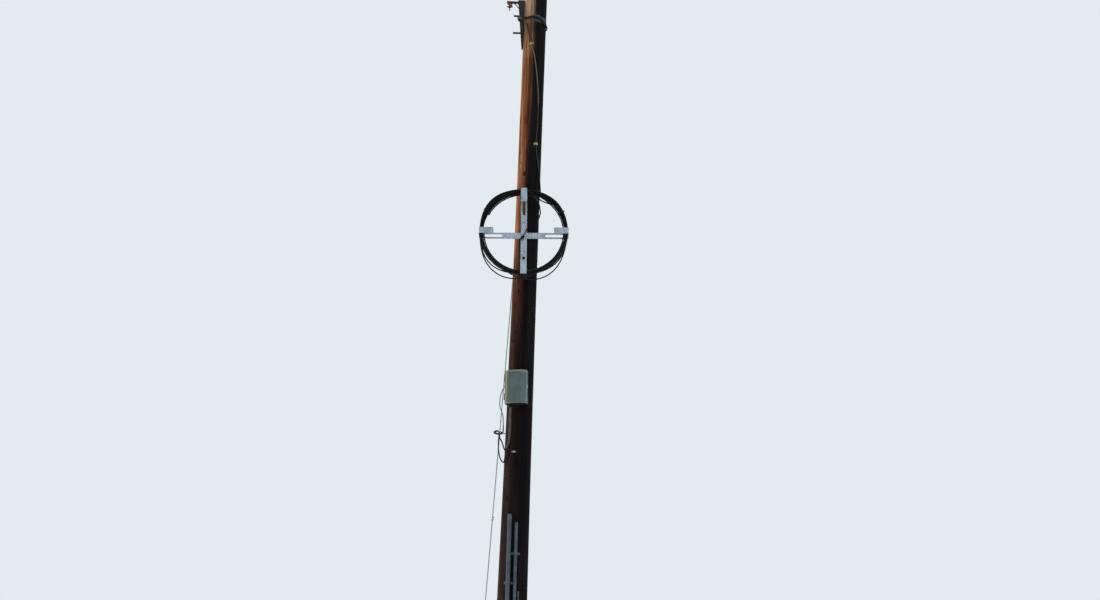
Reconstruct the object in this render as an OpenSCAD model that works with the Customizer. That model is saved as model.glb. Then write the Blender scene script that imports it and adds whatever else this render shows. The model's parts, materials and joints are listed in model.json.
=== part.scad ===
// Wooden utility pole with a cable storage cross, a terminal box, conduits and a stay.
// Z is up, the origin is on the pole's axis at ground level, and the front faces -Y.
// Azimuths are measured round the pole from its front, positive towards +X.

/* [Pole] */
// Height of the pole above the ground
pole_h = 7600; // [7200:10:8400]
// Radius of the pole at the ground
butt_r = 156; // [140:1:170]
// Radius of the pole at its top
top_r = 94; // [86:1:102]
// How sharply the pole swells towards the ground
flare = 2.6; // [2:0.1:3.2]

/* [Storage cross] */
// Height of the middle of the cross
cross_z = 5291; // [4900:1:5500]
// Azimuth of the cross on the pole
cross_az = 0; // [-15:1:15]
// Distance from the middle of the cross to the line where it touches the pole
cross_off = 21; // [0:1:24]
// How far the cross is turned in its own plane
cross_turn = -1.7; // [-4:0.1:4]
// Half the span of each strap
strap_reach = 362; // [320:1:420]
// Width of each strap
strap_w = 50; // [40:1:60]
// Thickness of each strap
strap_t = 4; // [3:0.5:6]
// Depth of the hook ends, from back to finger
hook_depth = 160; // [150:1:180]
// Length of each hook finger
finger_l = 118; // [80:1:130]
// Outer radius of the bends in a strap
bend_r = 9; // [7:0.5:14]
// Width of the long slots in the straps
slot_w = 22; // [12:1:26]
// Length of the long slots in the straps
slot_l = 150; // [60:1:150]
// Distance from a slot's outer end to the end of its strap
slot_margin = 38; // [30:1:60]
// Distance from the back of the cross to the nearest layer of the coil
coil_depth = 92; // [60:1:92]

/* [Cables] */
// Diameter of the stored cable
cable_d = 10; // [8:0.5:10.5]
// Diameter of the brown feed cable below the box
feed_d = 18; // [14:0.5:20]
// Diameter of the thin cables and slack loops
slack_d = 10; // [7:0.5:10]

/* [Terminal box] */
// Height of the middle of the box
box_z = 4021; // [3950:1:4080]
// Azimuth of the box on the pole
box_az = -11.5; // [-20:0.5:0]
// How far the box is turned in its own plane
box_turn = -2; // [-3:0.5:3]
// Width of the box
box_w = 178; // [170:1:200]
// Height of the box
box_h = 267; // [260:1:300]
// Depth of the fixed body
body_d = 50; // [44:1:70]
// Depth of the domed cover
door_d = 34; // [28:1:44]
// Width of the cover's flat front
panel_w = 84; // [70:1:92]
// Wall of the box and its cover
box_wall = 3; // [2.5:0.5:4]
// Gap between the body and the closed cover
door_gap = 1; // [0.5:0.5:2]
// Radius of the hinge pin
pin_r = 2; // [1.5:0.5:2]

/* [Conduits] */
// Height of the large conduit
conduit_large_h = 3020; // [2700:10:3200]
// Diameter of the large conduit
conduit_large_d = 34; // [28:1:38]
// Height of the small conduit
conduit_small_h = 2955; // [2850:10:3200]
// Diameter of the small conduit
conduit_small_d = 27; // [20:1:28]
// Height of the thin conduit
conduit_thin_h = 2425; // [1200:5:2600]
// Diameter of the thin conduit
conduit_thin_d = 15; // [12:1:18]
// Height of the upper saddle
saddle_upper_z = 2714; // [2600:1:2800]
// Height of the lower saddle
saddle_lower_z = 2487; // [2300:1:2500]

/* [Top fittings] */
// Depth of the upper rail bolt below the pole's top
rail_bolt_drop = 342; // [320:1:350]
// Distance between the two rail bolts
rail_bolt_gap = 154; // [140:1:200]
// Length of the side rail
rail_l = 430; // [380:5:460]
// Depth of the side rail at its lower end
rail_d = 12; // [12:1:20]
// Depth of the side rail at its upper end
rail_top_d = 54; // [30:1:60]
// Depth of the line arm below the pole's top
arm_drop = 222; // [200:1:240]
// Reach of the line arm from the pole's axis
arm_reach = 244; // [220:1:260]

/* [Stay] */
// Depth of the stay loop below the pole's top
guy_drop = 410; // [380:5:520]
// Distance behind the pole at which the stay meets the ground
guy_back = 4000; // [3000:50:5000]
// Distance to the left at which the stay meets the ground
guy_left = 445; // [0:5:900]
// Diameter of the stay strand
strand_d = 10; // [7:0.5:11]
// Distance from the ground to the insulator, along the stay
insulator_at = 3755; // [3000:10:5000]
// Length of the grips at the ends of the stay
grip_l = 460; // [300:10:600]
// Length of the anchor rod above the ground
rod_l = 600; // [300:10:900]

/* [Hidden] */

wood = "saddlebrown";
galvanised = "silver";
black_jacket = "dimgray";
grey_plastic = "lightslategray";
seat_gap = 0.3;
round_fn = 48;
pole_rings = 16;

function pole_r(z) = top_r + (butt_r - top_r) * pow(1 - z / pole_h, flare);
function pole_lean(z) = atan((butt_r - top_r) * flare / pole_h * pow(1 - z / pole_h, flare - 1));
function by_pole(az, z, out) = [(pole_r(z) + out) * sin(az), -(pole_r(z) + out) * cos(az), z];

// Children stand on the pole's surface: -Y points out of it and Z follows its taper
module on_pole(az, z) rotate([0, 0, az]) translate([0, -pole_r(z) - seat_gap, z])
    rotate([-pole_lean(z), 0, 0]) children();

function unit(v) = v / norm(v);
function curve_point(p, i, t) = let (
    a = p[max(i - 1, 0)], b = p[i], c = p[i + 1], d = p[min(i + 2, len(p) - 1)])
    0.5 * (2 * b + (c - a) * t + (2 * a - 5 * b + 4 * c - d) * t * t + (3 * b - a - 3 * c + d) * t * t * t);
function smooth(p, n) = [for (i = [0:len(p) - 2]) for (k = [0:n - 1]) curve_point(p, i, k / n),
    p[len(p) - 1]];
function along(p, i) = unit(p[min(i + 1, len(p) - 1)] - p[max(i - 1, 0)]);
function first_side(t) = abs(t.z) < 0.9 ? [0, 0, 1] : [0, 1, 0];
function sides_of(p, i = 0, last = undef, done = []) = i == len(p) ? done :
    let (t = along(p, i), s = is_undef(last) ? first_side(t) : last, u = unit(s - (s * t) * t))
    sides_of(p, i + 1, u, concat(done, [u]));
function ring(c, u, v, r, n) = [for (k = [0:n - 1]) c + r * (cos(360 * k / n) * u + sin(360 * k / n) * v)];
function skin(from, to, n) = [for (k = [0:n - 1]) let (a = from + k, b = from + (k + 1) % n,
    c = to + (k + 1) % n, d = to + k) each [[a, d, c], [a, c, b]]];

function part(p, from, to) = [for (i = [from:to]) p[i]];
// Path a, then the free points, then path b, with smooth turns between them
function joined(a, free, b, n = 4) = concat(part(a, 0, len(a) - 3),
    smooth(concat(part(a, len(a) - 2, len(a) - 1), free, part(b, 0, 1)), n), part(b, 2, len(b) - 1));

// A cable along the points of p, with flat ends
module tube(p, d, n = 8) {
    u = sides_of(p);
    last = len(p) - 1;
    points = [for (i = [0:last]) each ring(p[i], u[i], cross(along(p, i), u[i]), d / 2, n)];
    polyhedron(points, concat([[for (k = [0:n - 1]) k], [for (k = [n - 1:-1:0]) last * n + k]],
        [for (i = [0:last - 1]) each skin(i * n, (i + 1) * n, n)]));
}

// A closed turn through the points of p, which lie round the direction of face
module closed_turn(p, d, face, n = 8) {
    count = len(p);
    points = [for (i = [0:count - 1]) let (t = unit(p[(i + 1) % count] - p[(i + count - 1) % count]),
        u = unit(face - (face * t) * t)) each ring(p[i], u, cross(t, u), d / 2, n)];
    polyhedron(points, [for (i = [0:count - 1]) each skin(i * n, ((i + 1) % count) * n, n)]);
}

// A straight round bar from a to b
module bar(a, b, d) {
    v = b - a;
    translate(a) rotate([0, acos(v.z / norm(v)), atan2(v.y, v.x)])
        cylinder(h = norm(v), d = d, $fn = round_fn);
}

screw_d = 10;
screw_l = 70;
washer_t = 2.5;
head_h = 6.5;
function across(flats) = flats / cos(30);

// Lag screw with washer, its seat at the origin and its shank along +Y
module lag_screw(l = screw_l, d = screw_d) rotate([-90, 0, 0]) {
    cylinder(h = l, d = d, $fn = round_fn);
    translate([0, 0, -washer_t]) cylinder(h = washer_t, d = d * 2.6, $fn = round_fn);
    translate([0, 0, -washer_t - head_h]) cylinder(h = head_h, d = across(d * 1.7), $fn = 6);
}

// A hole for that screw's shank, along +Y
module screw_hole(l = screw_l, d = screw_d) translate([0, -20, 0]) rotate([-90, 0, 0])
    cylinder(h = l + 22, d = d + 2 * seat_gap, $fn = round_fn);

guy_z = pole_h - guy_drop;
rail_bolt_z = [pole_h - rail_bolt_drop, pole_h - rail_bolt_drop - rail_bolt_gap];
rail_bolt_d = 16;
cross_screw_at = [-123, 0, 123];

// The cross stands in its own plane, turned on the pole's face
module in_cross() on_pole(cross_az, cross_z) translate([-cross_off, 0, 0])
    rotate([0, cross_turn, 0]) children();
function about_x(p, a) = [p.x, p.y * cos(a) - p.z * sin(a), p.y * sin(a) + p.z * cos(a)];
function about_y(p, a) = [p.x * cos(a) + p.z * sin(a), p.y, p.z * cos(a) - p.x * sin(a)];
function about_z(p, a) = [p.x * cos(a) - p.y * sin(a), p.x * sin(a) + p.y * cos(a), p.z];
function from_cross(p) = about_z([0, -pole_r(cross_z) - seat_gap, cross_z]
    + about_x([-cross_off, 0, 0] + about_y(p, cross_turn), -pole_lean(cross_z)), cross_az);

top_bevel = 6;
module pole_shape(extra) rotate_extrude($fn = 128) polygon(concat([[0, 0]],
    [for (i = [0:pole_rings - 1]) let (z = pole_h * i / pole_rings) [pole_r(z) + extra, z]],
    [[top_r + extra, pole_h - top_bevel], [top_r + extra - top_bevel, pole_h], [0, pole_h]]));

// Drying checks: azimuth, height, length, width and depth of each long split
checks = [[-62, 6800, 1250, 4, 20], [-38, 5900, 900, 3, 16], [-22, 6350, 700, 2.5, 14],
    [-48, 4760, 760, 4, 20], [12, 4560, 900, 3, 18], [48, 6150, 1100, 4, 22],
    [74, 4700, 1300, 4, 22], [-64, 2900, 1000, 4, 20], [38, 3350, 1100, 3, 18],
    [62, 1900, 1500, 4, 22], [-50, 1150, 1200, 4, 22], [128, 5400, 1700, 5, 26],
    [160, 3000, 1900, 5, 26], [-140, 2100, 1500, 5, 24], [-118, 6000, 900, 4, 22],
    [100, 2800, 900, 3, 18]];
module check_cut(az, z, l, w, depth) rotate([0, 0, az]) translate([0, -pole_r(z) + depth, z])
    rotate([90 - pole_lean(z), 0, 0]) linear_extrude(2 * depth)
        polygon([[-w / 2, 0], [0, l / 2], [w / 2, 0], [0, -l / 2]]);

module pole() color(wood) difference() {
    pole_shape(0);
    in_cross() for (z = cross_screw_at) translate([0, 0, z]) screw_hole();
    for (z = box_screw_z) in_box_column() translate([0, 0, z]) screw_hole(box_screw_l);
    for (z = rail_bolt_z) translate([-2 * top_r, 0, z]) rotate([0, 90, 0])
        cylinder(h = 2 * top_r - stud_end, d = rail_bolt_d + 2 * seat_gap, $fn = round_fn);
    for (s = saddles) at_ears(s) screw_hole(saddle_screw_l, saddle_screw_d);
    for (c = checks) check_cut(c[0], c[1], c[2], c[3], c[4]);
}

// Half of a strap's outline: back, arm and finger joined by two round bends
module strap_half() {
    translate([0, -strap_t]) square([strap_reach - bend_r, strap_t]);
    translate([strap_reach - strap_t, -(hook_depth - bend_r)]) square([strap_t, hook_depth - 2 * bend_r]);
    translate([strap_reach - finger_l, -hook_depth]) square([finger_l - bend_r, strap_t]);
    for (y = [-bend_r, -(hook_depth - bend_r)]) translate([strap_reach - bend_r, y]) intersection() {
        difference() {
            circle(r = bend_r, $fn = round_fn);
            circle(r = bend_r - strap_t, $fn = round_fn);
        }
        translate([0, y == -bend_r ? 0 : -bend_r]) square(bend_r);
    }
}

module slot(l, w) rotate([-90, 0, 0]) translate([0, 0, -strap_t - 1]) linear_extrude(strap_t + 2) {
    square([l - w, w], center = true);
    for (s = [-1, 1]) translate([s * (l - w) / 2, 0]) circle(d = w, $fn = round_fn);
}

// A strap lying along X with its back on the plane y = 0
module strap() difference() {
    translate([0, 0, -strap_w / 2]) linear_extrude(strap_w) {
        strap_half();
        mirror([1, 0]) strap_half();
    }
    for (s = [-1, 1]) translate([s * (strap_reach - slot_margin - slot_l / 2), 0, 0]) slot(slot_l, slot_w);
    for (x = cross_screw_at) translate([x, 0, 0]) screw_hole();
}

module cross_vertical_strap() color(galvanised) in_cross() rotate([0, 90, 0]) strap();
module cross_horizontal_strap() color(galvanised) in_cross() translate([0, -strap_t, 0]) strap();
module cross_screws() color(galvanised) in_cross() for (z = cross_screw_at)
    translate([0, z == 0 ? -2 * strap_t : -strap_t, z]) lag_screw();

// Turns of the coil: steps in from the outer turn and steps forward from the first layer,
// and for loose turns their bulges, each with a height, an angle and a half width
coil_outer = strap_reach - strap_t - seat_gap;
turn_gap = 0.6;
turn_step = cable_d + turn_gap;
coil_r = coil_outer - cable_d / 2;
main_turns = [[0, 0], [1, 0], [2, 0], [0, 1], [1, 1], [2, 1]];
loose_turns = [[0, 2, [[26, -135, 41], [15, -45, 41], [5, 45, 41], [6, 135, 41]]],
    [0, 3, [[60, -118, 60], [11, 45, 41], [12, 135, 41]]],
    [0, 4, [[64, -68, 60], [-58, 60, 33], [18, 135, 41]]]];
turn_rings = 60;

function bulge(angle, height, at, half) = let (away = abs((angle - at + 900) % 360 - 180))
    away > half ? 0 : height * (1 + cos(180 * away / half)) / 2;
function spread(angle, bulges, i = 0) = i == len(bulges) ? 0 :
    bulge(angle, bulges[i][0], bulges[i][1], bulges[i][2]) + spread(angle, bulges, i + 1);
function on_turn(angle, steps, layer, out = 0) = let (r = coil_r - steps * turn_step + out)
    [r * cos(angle), -coil_depth - layer * turn_step, r * sin(angle)];

module coil_turns_main() color(black_jacket) in_cross() for (turn = main_turns)
    translate([0, -coil_depth - turn[1] * turn_step, 0]) rotate([90, 0, 0]) rotate_extrude($fn = 96)
        translate([coil_r - turn[0] * turn_step, 0]) circle(d = cable_d, $fn = 24);
module coil_turns_sagging() color(black_jacket) in_cross() for (turn = loose_turns)
    closed_turn([for (k = [0:turn_rings - 1]) let (a = 360 * k / turn_rings)
        on_turn(a, turn[0], turn[1], spread(a, turn[2]))], cable_d, [0, 1, 0]);

// Ties are flat bands round the bundle of turns
tie_t = 1.5;
tie_w = 8;
tie_turns = 4;
tie_layers = 5;
tie_angles = [28, 150];
module coil_tie(angle) {
    out = max([for (turn = loose_turns) spread(angle, turn[2])]) + seat_gap;
    w = tie_turns * turn_step + out;
    depth = tie_layers * turn_step;
    front = cable_d / 2 + seat_gap - coil_depth - depth;
    rotate([0, -angle, 0]) translate([coil_outer + out - w, front, -tie_w / 2])
        difference() {
            translate([-tie_t, -tie_t, 0]) cube([w + 2 * tie_t, depth + 2 * tie_t, tie_w]);
            translate([0, 0, -1]) cube([w, depth, tie_w + 2]);
        }
}
module coil_ties() color(black_jacket) in_cross() for (angle = tie_angles) coil_tie(angle);

centre_tie_d = 8;
centre_tie_route = [[30, -10, 74], [26, -14, 58], [15, -19.5, 34], [0, -21.4, 6], [-18, -21, -16],
    [-31, -16, -44], [-33, -10, -90], [-32, -8, -150], [-32, -8, -210]];
module centre_tie() color(black_jacket) in_cross() tube(smooth(centre_tie_route, 3), centre_tie_d);

// A cable's path on the pole, through points that give azimuth, height and free distance off the surface
function pole_path(route, d, n) = [for (p = smooth(route, n)) by_pole(p[0], p[1], p[2] + d / 2 + seat_gap)];
tail_step = 3;
function coil_tail(from, to, step = 7.5) = [for (a = [from:from < to ? step : -step:to])
    from_cross(on_turn(a, tail_step, 0))];

// Cable down the front of the pole, off its right side and into the coil
front_top_z = pole_h - 435;
front_low_z = cross_z + 365;
function front_z(f) = front_low_z + (front_top_z - front_low_z) * f;
front_route = [for (p = [[-46, 1, 0], [-32, 0.946, 0], [-21, 0.906, 0], [-13, 0.874, 0],
    [-5, 0.838, 0], [3, 0.808, 0], [11, 0.755, 0], [17, 0.715, 0], [25, 0.64, 0], [32, 0.54, 0],
    [32, 0.387, 0], [29, 0.288, 0], [40, 0.2, 0], [56, 0.12, 0], [72, 0.046, 1], [84, 0, 2]])
    [p[0], front_z(p[1]), p[2]]];
front_free = [[152, 56, 340], [194, 0, 290], [218, -62, 246]];
module front_cable() color(black_jacket) tube(joined(pole_path(front_route, cable_d, 4),
    [for (p = front_free) from_cross(p)], coil_tail(45, -184)), cable_d);

clip_t = 2;
clip_h = 18;
clip_fit = 1;
clip_foot = 12;
clips_at = [3, 11];
// Clip with a foot each side of the cable, turned to the way the cable runs there
module cable_clip(i) let (p = front_route[i], before = front_route[i - 1], after = front_route[i + 1],
    w = cable_d + 2 * clip_fit,
    slant = atan((before[0] - after[0]) * PI / 180 * pole_r(p[1]) / (before[1] - after[1])))
    on_pole(p[0], p[1]) rotate([0, slant, 0]) difference() {
        union() {
            translate([-w / 2 - clip_t, -w - clip_t, -clip_h / 2])
                cube([w + 2 * clip_t, w + clip_t, clip_h]);
            translate([-w / 2 - clip_foot, -clip_t, -clip_h / 2])
                cube([w + 2 * clip_foot, clip_t, clip_h]);
        }
        translate([-w / 2, -w, -clip_h / 2 - 1]) cube([w, w + 1, clip_h + 2]);
    }
module front_cable_clips() color("gainsboro") for (i = clips_at) cable_clip(i);

// Terminal box, screwed through its own back and a flat bracket
pad_h = 24;
pad_w = 70;
plate_t = 3;
pad_depth = 18;
bracket_margin = 8;
box_screw_z = [-box_h / 2 + 38, box_h / 2 - 38];
box_screw_l = screw_l + pad_depth + plate_t + box_wall;
box_seat = pole_r(box_z - box_h / 2) + pad_depth;
module in_box_column() rotate([0, 0, box_az]) translate([0, -box_seat, box_z])
    rotate([0, box_turn, 0]) children();
module in_box() in_box_column() translate([0, -plate_t, 0]) children();

module box_bracket() color(galvanised) difference() {
    in_box_column() {
        translate([-pad_w / 2, -plate_t, bracket_margin - box_h / 2])
            cube([pad_w, plate_t, box_h - 2 * bracket_margin]);
        for (z = box_screw_z) translate([-pad_w / 2, 0, z - pad_h / 2])
            cube([pad_w, pad_depth + 20, pad_h]);
    }
    pole_shape(seat_gap);
    in_box_column() for (z = box_screw_z) translate([0, 0, z]) screw_hole(box_screw_l);
}
module box_bracket_screws() color(galvanised) in_box() for (z = box_screw_z)
    translate([0, -box_wall - seat_gap, z]) lag_screw(l = box_screw_l);

corner_r = 8;
module rounded(w, d, r) {
    translate([-w / 2 + r, -d]) square([w - 2 * r, d]);
    translate([-w / 2, -d + r]) square([w, d - 2 * r]);
    for (x = [-1, 1], y = [r, d - r]) translate([x * (w / 2 - r), -y]) circle(r = r, $fn = round_fn);
}

knuckle_r = 4;
hinge_x = -box_w / 2 - knuckle_r;
hinge_y = -body_d - door_gap / 2;
knuckle_l = 24;
knuckle_z = [-100, 51.5];
pin_clear = 0.2;
pin_head_r = 3.3;
module knuckles(z) difference() {
    for (k = z) translate([hinge_x, hinge_y, k]) {
        cylinder(h = knuckle_l, r = knuckle_r, $fn = round_fn);
    }
    translate([hinge_x, hinge_y, -box_h / 2]) cylinder(h = box_h, r = pin_r + pin_clear, $fn = round_fn);
}

gland_x = [-46, 4];
gland_y = -25;
gland_d = 26;
gland_neck = 18;
module box_body() color(grey_plastic) in_box() {
    difference() {
        union() {
            translate([0, 0, -box_h / 2]) linear_extrude(box_h) intersection() {
                rounded(box_w, body_d + corner_r, corner_r);
                translate([-box_w / 2, -body_d]) square([box_w, body_d]);
            }
            for (k = knuckle_z) translate([hinge_x, hinge_y + 1, k])
                cube([knuckle_r + 2, knuckle_r, knuckle_l]);
        }
        translate([-box_w / 2 + box_wall, -body_d - 1, -box_h / 2 + box_wall])
            cube([box_w - 2 * box_wall, body_d + 1 - box_wall, box_h - 2 * box_wall]);
        for (x = gland_x) translate([x, gland_y, -box_h / 2 - 1])
            cylinder(h = box_wall + 2, d = gland_neck, $fn = round_fn);
        for (z = box_screw_z) translate([0, 0, z]) screw_hole(box_screw_l);
        translate([hinge_x, hinge_y, -box_h / 2]) cylinder(h = box_h, r = knuckle_r - 1, $fn = round_fn);
    }
    knuckles(knuckle_z);
}

rim_r = 6;
front_r = 20;
module cover_outline(inset) hull() for (s = [-1, 1]) {
    for (y = [0, -rim_r]) translate([s * (box_w / 2 - rim_r), y]) circle(r = rim_r - inset, $fn = round_fn);
    translate([s * panel_w / 2, front_r - door_d]) circle(r = front_r - inset, $fn = round_fn);
}

panel_margin = 22;
// Cover, drawn with its back edge on the plane y = 0
module cover() difference() {
    translate([0, 0, -box_h / 2]) linear_extrude(box_h) cover_outline(0);
    translate([0, 0, -box_h / 2 + box_wall]) linear_extrude(box_h - 2 * box_wall) cover_outline(box_wall);
    translate([-box_w, 0, -box_h]) cube([2 * box_w, 20, 2 * box_h]);
    translate([-panel_w / 2, -door_d - 1, panel_margin - box_h / 2])
        cube([panel_w, 2, box_h - 2 * panel_margin]);
}
module box_door() color(grey_plastic) in_box() {
    translate([0, -body_d - door_gap, 0]) cover();
    knuckles([for (k = knuckle_z) k + knuckle_l + 0.5]);
    for (k = knuckle_z) difference() {
        translate([hinge_x, hinge_y - knuckle_r, k + knuckle_l + 0.5])
            cube([knuckle_r + 2, knuckle_r - 1, knuckle_l]);
        translate([hinge_x, hinge_y, -box_h / 2]) cylinder(h = box_h, r = knuckle_r - 1, $fn = round_fn);
    }
}
module box_hinge_pin() color(galvanised) in_box() for (k = knuckle_z) translate([hinge_x, hinge_y, k - 1]) {
    cylinder(h = 2 * knuckle_l + 2.5, r = pin_r, $fn = round_fn);
    translate([0, 0, 2 * knuckle_l + 2.5]) cylinder(h = 2, r = pin_head_r, $fn = round_fn);
    translate([0, 0, -1]) cylinder(h = 1, r = pin_head_r, $fn = round_fn);
}
latch_w = 26;
module box_latch() color("gray") in_box() translate([box_w / 2 + seat_gap, -body_d - 16, -latch_w / 2]) {
    cube([2.5, 30, latch_w]);
    translate([2.5, 9, latch_w / 2]) rotate([0, 90, 0]) cylinder(h = 4, d = 14, $fn = round_fn);
}
module gland() difference() {
    union() {
        translate([0, 0, -10]) cylinder(h = 10, d = across(gland_d), $fn = 6);
        translate([0, 0, -22]) cylinder(h = 12, d = gland_d - 2, $fn = round_fn);
        cylinder(h = box_wall, d = gland_neck - 2 * seat_gap, $fn = round_fn);
        translate([0, 0, box_wall]) cylinder(h = 6, d = across(gland_d), $fn = 6);
    }
    translate([0, 0, -23]) cylinder(h = 22, d = feed_d + 2 * seat_gap, $fn = round_fn);
}
module box_glands() color(black_jacket) in_box() for (x = gland_x)
    translate([x, gland_y, -box_h / 2]) gland();

// Cable out of the box's bottom and down the pole's left front, to where its sheath ends
function from_box(az, z, gap) = [az, box_z + z, gap];
function under_gland(z) = about_z([0, -plate_t - box_seat, box_z]
    + about_y([gland_x[0], gland_y, -box_h / 2 - z], box_turn), box_az);
feed_route = [from_box(-31, -215, 28), from_box(-33.5, -262, 13), from_box(-36.5, -315, 2),
    from_box(-37, -366, 0.5), from_box(-39, -410, 0.5), from_box(-43.5, -446, 0.6), from_box(-50, -474, 1)];
feed_points = joined([for (z = [4, 14, 23, 31]) under_gland(z)], [], pole_path(feed_route, feed_d, 3));
module feed_cable() color("rosybrown") tube(feed_points, feed_d);

// Two thin cables leave its end side by side and coil once round in one plane, beside the pole
loop_z = box_z - 340;
loop_r = 35;
loop_at = [-pole_r(loop_z) - 56, -14, loop_z];
loop_lift = 8;
loop_inner_r = loop_r - slack_d - 2 * seat_gap;
feed_end = feed_points[len(feed_points) - 1];
feed_way = along(feed_points, len(feed_points) - 1);
feed_side = unit(cross(feed_way, [feed_end.x, feed_end.y, 0]));
function out_of_feed(side) = [for (out = [seat_gap, 12])
    feed_end + out * feed_way + side * (slack_d / 2 + seat_gap) * feed_side];
function from_loop(points) = [for (p = points) loop_at + p];
function loop_turn(r, from, to) = from_loop([for (a = [from:-15:to])
    [r * cos(a), r * sin(a), -loop_lift * r / loop_r * sin(a)]]);
slack_route = [[64, -50.5, -145], [57, -44, -148], [51, -36, -136], [43, -29, -114], [33, -24.5, -83],
    [15, -23.5, -53], [9.5, -24, -28], [7, -24.4, -9]];
module slack_loops() color(black_jacket) tube(smooth(concat(out_of_feed(1), from_loop(slack_route),
    loop_turn(loop_inner_r, -95, -395)), 2), slack_d);
hook_d = 6;
hook_l = 30;
hook_z = loop_z - slack_d / 2 - hook_d / 2 - 4 * seat_gap;
module slack_hook() color(galvanised) on_pole(-82, hook_z) rotate([90, 0, 0])
    cylinder(h = hook_l, d = hook_d, $fn = round_fn);

// Cable from there up the pole's left side, behind it and into the coil from its right side
side_low = [[70, -58.5, -157], [64, -46, -180], [58, -38, -218], [50, -32, -247], [31, -34, -228],
    [18, -35, -197], [7, -36, -142], [4, -36, -78], [7, -35, -30], [6.5, -35.5, -8]];
side_up = [[36.5, -2, 10], [37, -6, 28], [34, -4, 91], [27, -2, 147], [3, 0, 203], [0, 2, 252],
    [4, 4, 301], [19, 8, 350]];
side_high = [from_box(-92, 50, 16), from_box(-98, 90, 5), from_box(-106, 140, 1),
    from_box(-111, 210, 0.5), [-114, cross_z - 785, 0.5], [-126, cross_z - 435, 0.5],
    [-152, cross_z - 185, 0.7], [-188, cross_z + 25, 0.7], [-226, cross_z + 155, 0.7],
    [-252, cross_z + 205, 2], [-266, cross_z + 235, 5]];
side_free = [[128, 60, 268], [118, 0, 286], [94, -56, 304]];
side_start = smooth(concat(out_of_feed(-1), from_loop(side_low), loop_turn(loop_r, -100, -340),
    from_loop(side_up)), 2);
side_end = joined(pole_path(side_high, slack_d, 4), [for (p = side_free) from_cross(p)],
    coil_tail(78, 160));
module side_cable() color(black_jacket) tube(concat(side_start, side_end), slack_d);

// Conduits stand straight against the swelling pole. Each is the azimuth of its head,
// the azimuth of its foot, its diameter and its height.
conduits = [[-19.3, -2.6, conduit_large_d, conduit_large_h], [5.1, 15.7, conduit_small_d, conduit_small_h],
    [20.5, 28, conduit_thin_d, conduit_thin_h]];
conduit_wall = 2.5;
seal_depth = 8;
function conduit_foot(c) = by_pole(c[1], 0, c[2] / 2 + seat_gap);
function conduit_head(c) = by_pole(c[0], c[3], c[2] / 2 + seat_gap);
function conduit_at(c, z) = conduit_foot(c) + (conduit_head(c) - conduit_foot(c)) * z / c[3];
module conduit(c) {
    foot = conduit_at(c, seat_gap);
    head = conduit_head(c);
    down = unit(foot - head);
    difference() {
        bar(foot, head, c[2]);
        bar(head + seal_depth * down, head - seal_depth * down, c[2] - 2 * conduit_wall);
    }
}
module conduit_large() color(galvanised) conduit(conduits[0]);
module conduit_small() color(galvanised) conduit(conduits[1]);
module conduit_thin() color(galvanised) conduit(conduits[2]);

saddle_t = 2;
saddle_w = 20;
ear_l = 20;
saddle_screw_d = 5;
saddle_screw_l = 32;
function ear_angle(z, x) = asin(x / pole_r(z));

// Azimuth, height, pipe diameter, the pipe's distance off the pole, ear length and width of each saddle
function saddle_on(i, z) = let (c = conduits[i], p = conduit_at(c, z))
    [atan2(p.x, -p.y), z, c[2], norm([p.x, p.y]) - pole_r(z) - c[2] / 2 - seat_gap, ear_l, saddle_w];
saddles = [saddle_on(1, saddle_upper_z), saddle_on(0, saddle_lower_z), [-17, box_z - 506, 10, 0, 11, 12]];
function saddle_half(s) = s[2] / 2 + seat_gap + saddle_t;

// Children stand on the middle of both ears of a saddle, with +Y into the pole
module at_ears(s) for (side = [-1, 1])
    rotate([0, 0, s[0] + side * ear_angle(s[1], saddle_half(s) + s[4] / 2)])
        translate([0, -pole_r(s[1] - s[5] / 2) - seat_gap - saddle_t, s[1]]) children();

// Band lying on the pole from one azimuth to another
module pole_band(from, to, z, t, w) rotate([0, 0, from - 90]) rotate_extrude(angle = to - from, $fn = 128)
    translate([pole_r(z - w / 2) + seat_gap, z - w / 2]) square([t, w]);

// Saddle over a pipe that stands off the pole, with two ears on the wood
module saddle(s) let (az = s[0], z = s[1], d = s[2], ear = s[4], w = s[5], half = saddle_half(s))
difference() {
    union() {
        difference() {
            on_pole(az, z) translate([0, -d / 2 - s[3], 0]) difference() {
                union() {
                    cylinder(h = w, r = half, $fn = round_fn, center = true);
                    translate([-half, 0, -w / 2]) cube([2 * half, half + 6, w]);
                }
                cylinder(h = w + 2, d = d + 2 * seat_gap, $fn = round_fn, center = true);
                translate([-d / 2 - seat_gap, 0, -w]) cube([d + 2 * seat_gap, d + 20, 2 * w]);
            }
            pole_shape(seat_gap);
        }
        for (side = [-1, 1]) let (a = side * ear_angle(z, half - 1), b = side * ear_angle(z, half + ear))
            pole_band(az + min(a, b), az + max(a, b), z, saddle_t, w);
    }
    at_ears(s) screw_hole(saddle_screw_l, saddle_screw_d);
}
module conduit_saddles() color(galvanised) for (i = [0, 1]) saddle(saddles[i]);
module spare_saddle() color(galvanised) saddle(saddles[2]);
module saddle_screws() color(galvanised) for (s = saddles) at_ears(s)
translate([0, -seat_gap, 0]) rotate([-90, 0, 0]) {
    cylinder(h = saddle_screw_l, d = saddle_screw_d, $fn = round_fn);
    translate([0, 0, -3]) cylinder(h = 3, d1 = 6, d2 = 10, $fn = round_fn);
}

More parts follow.
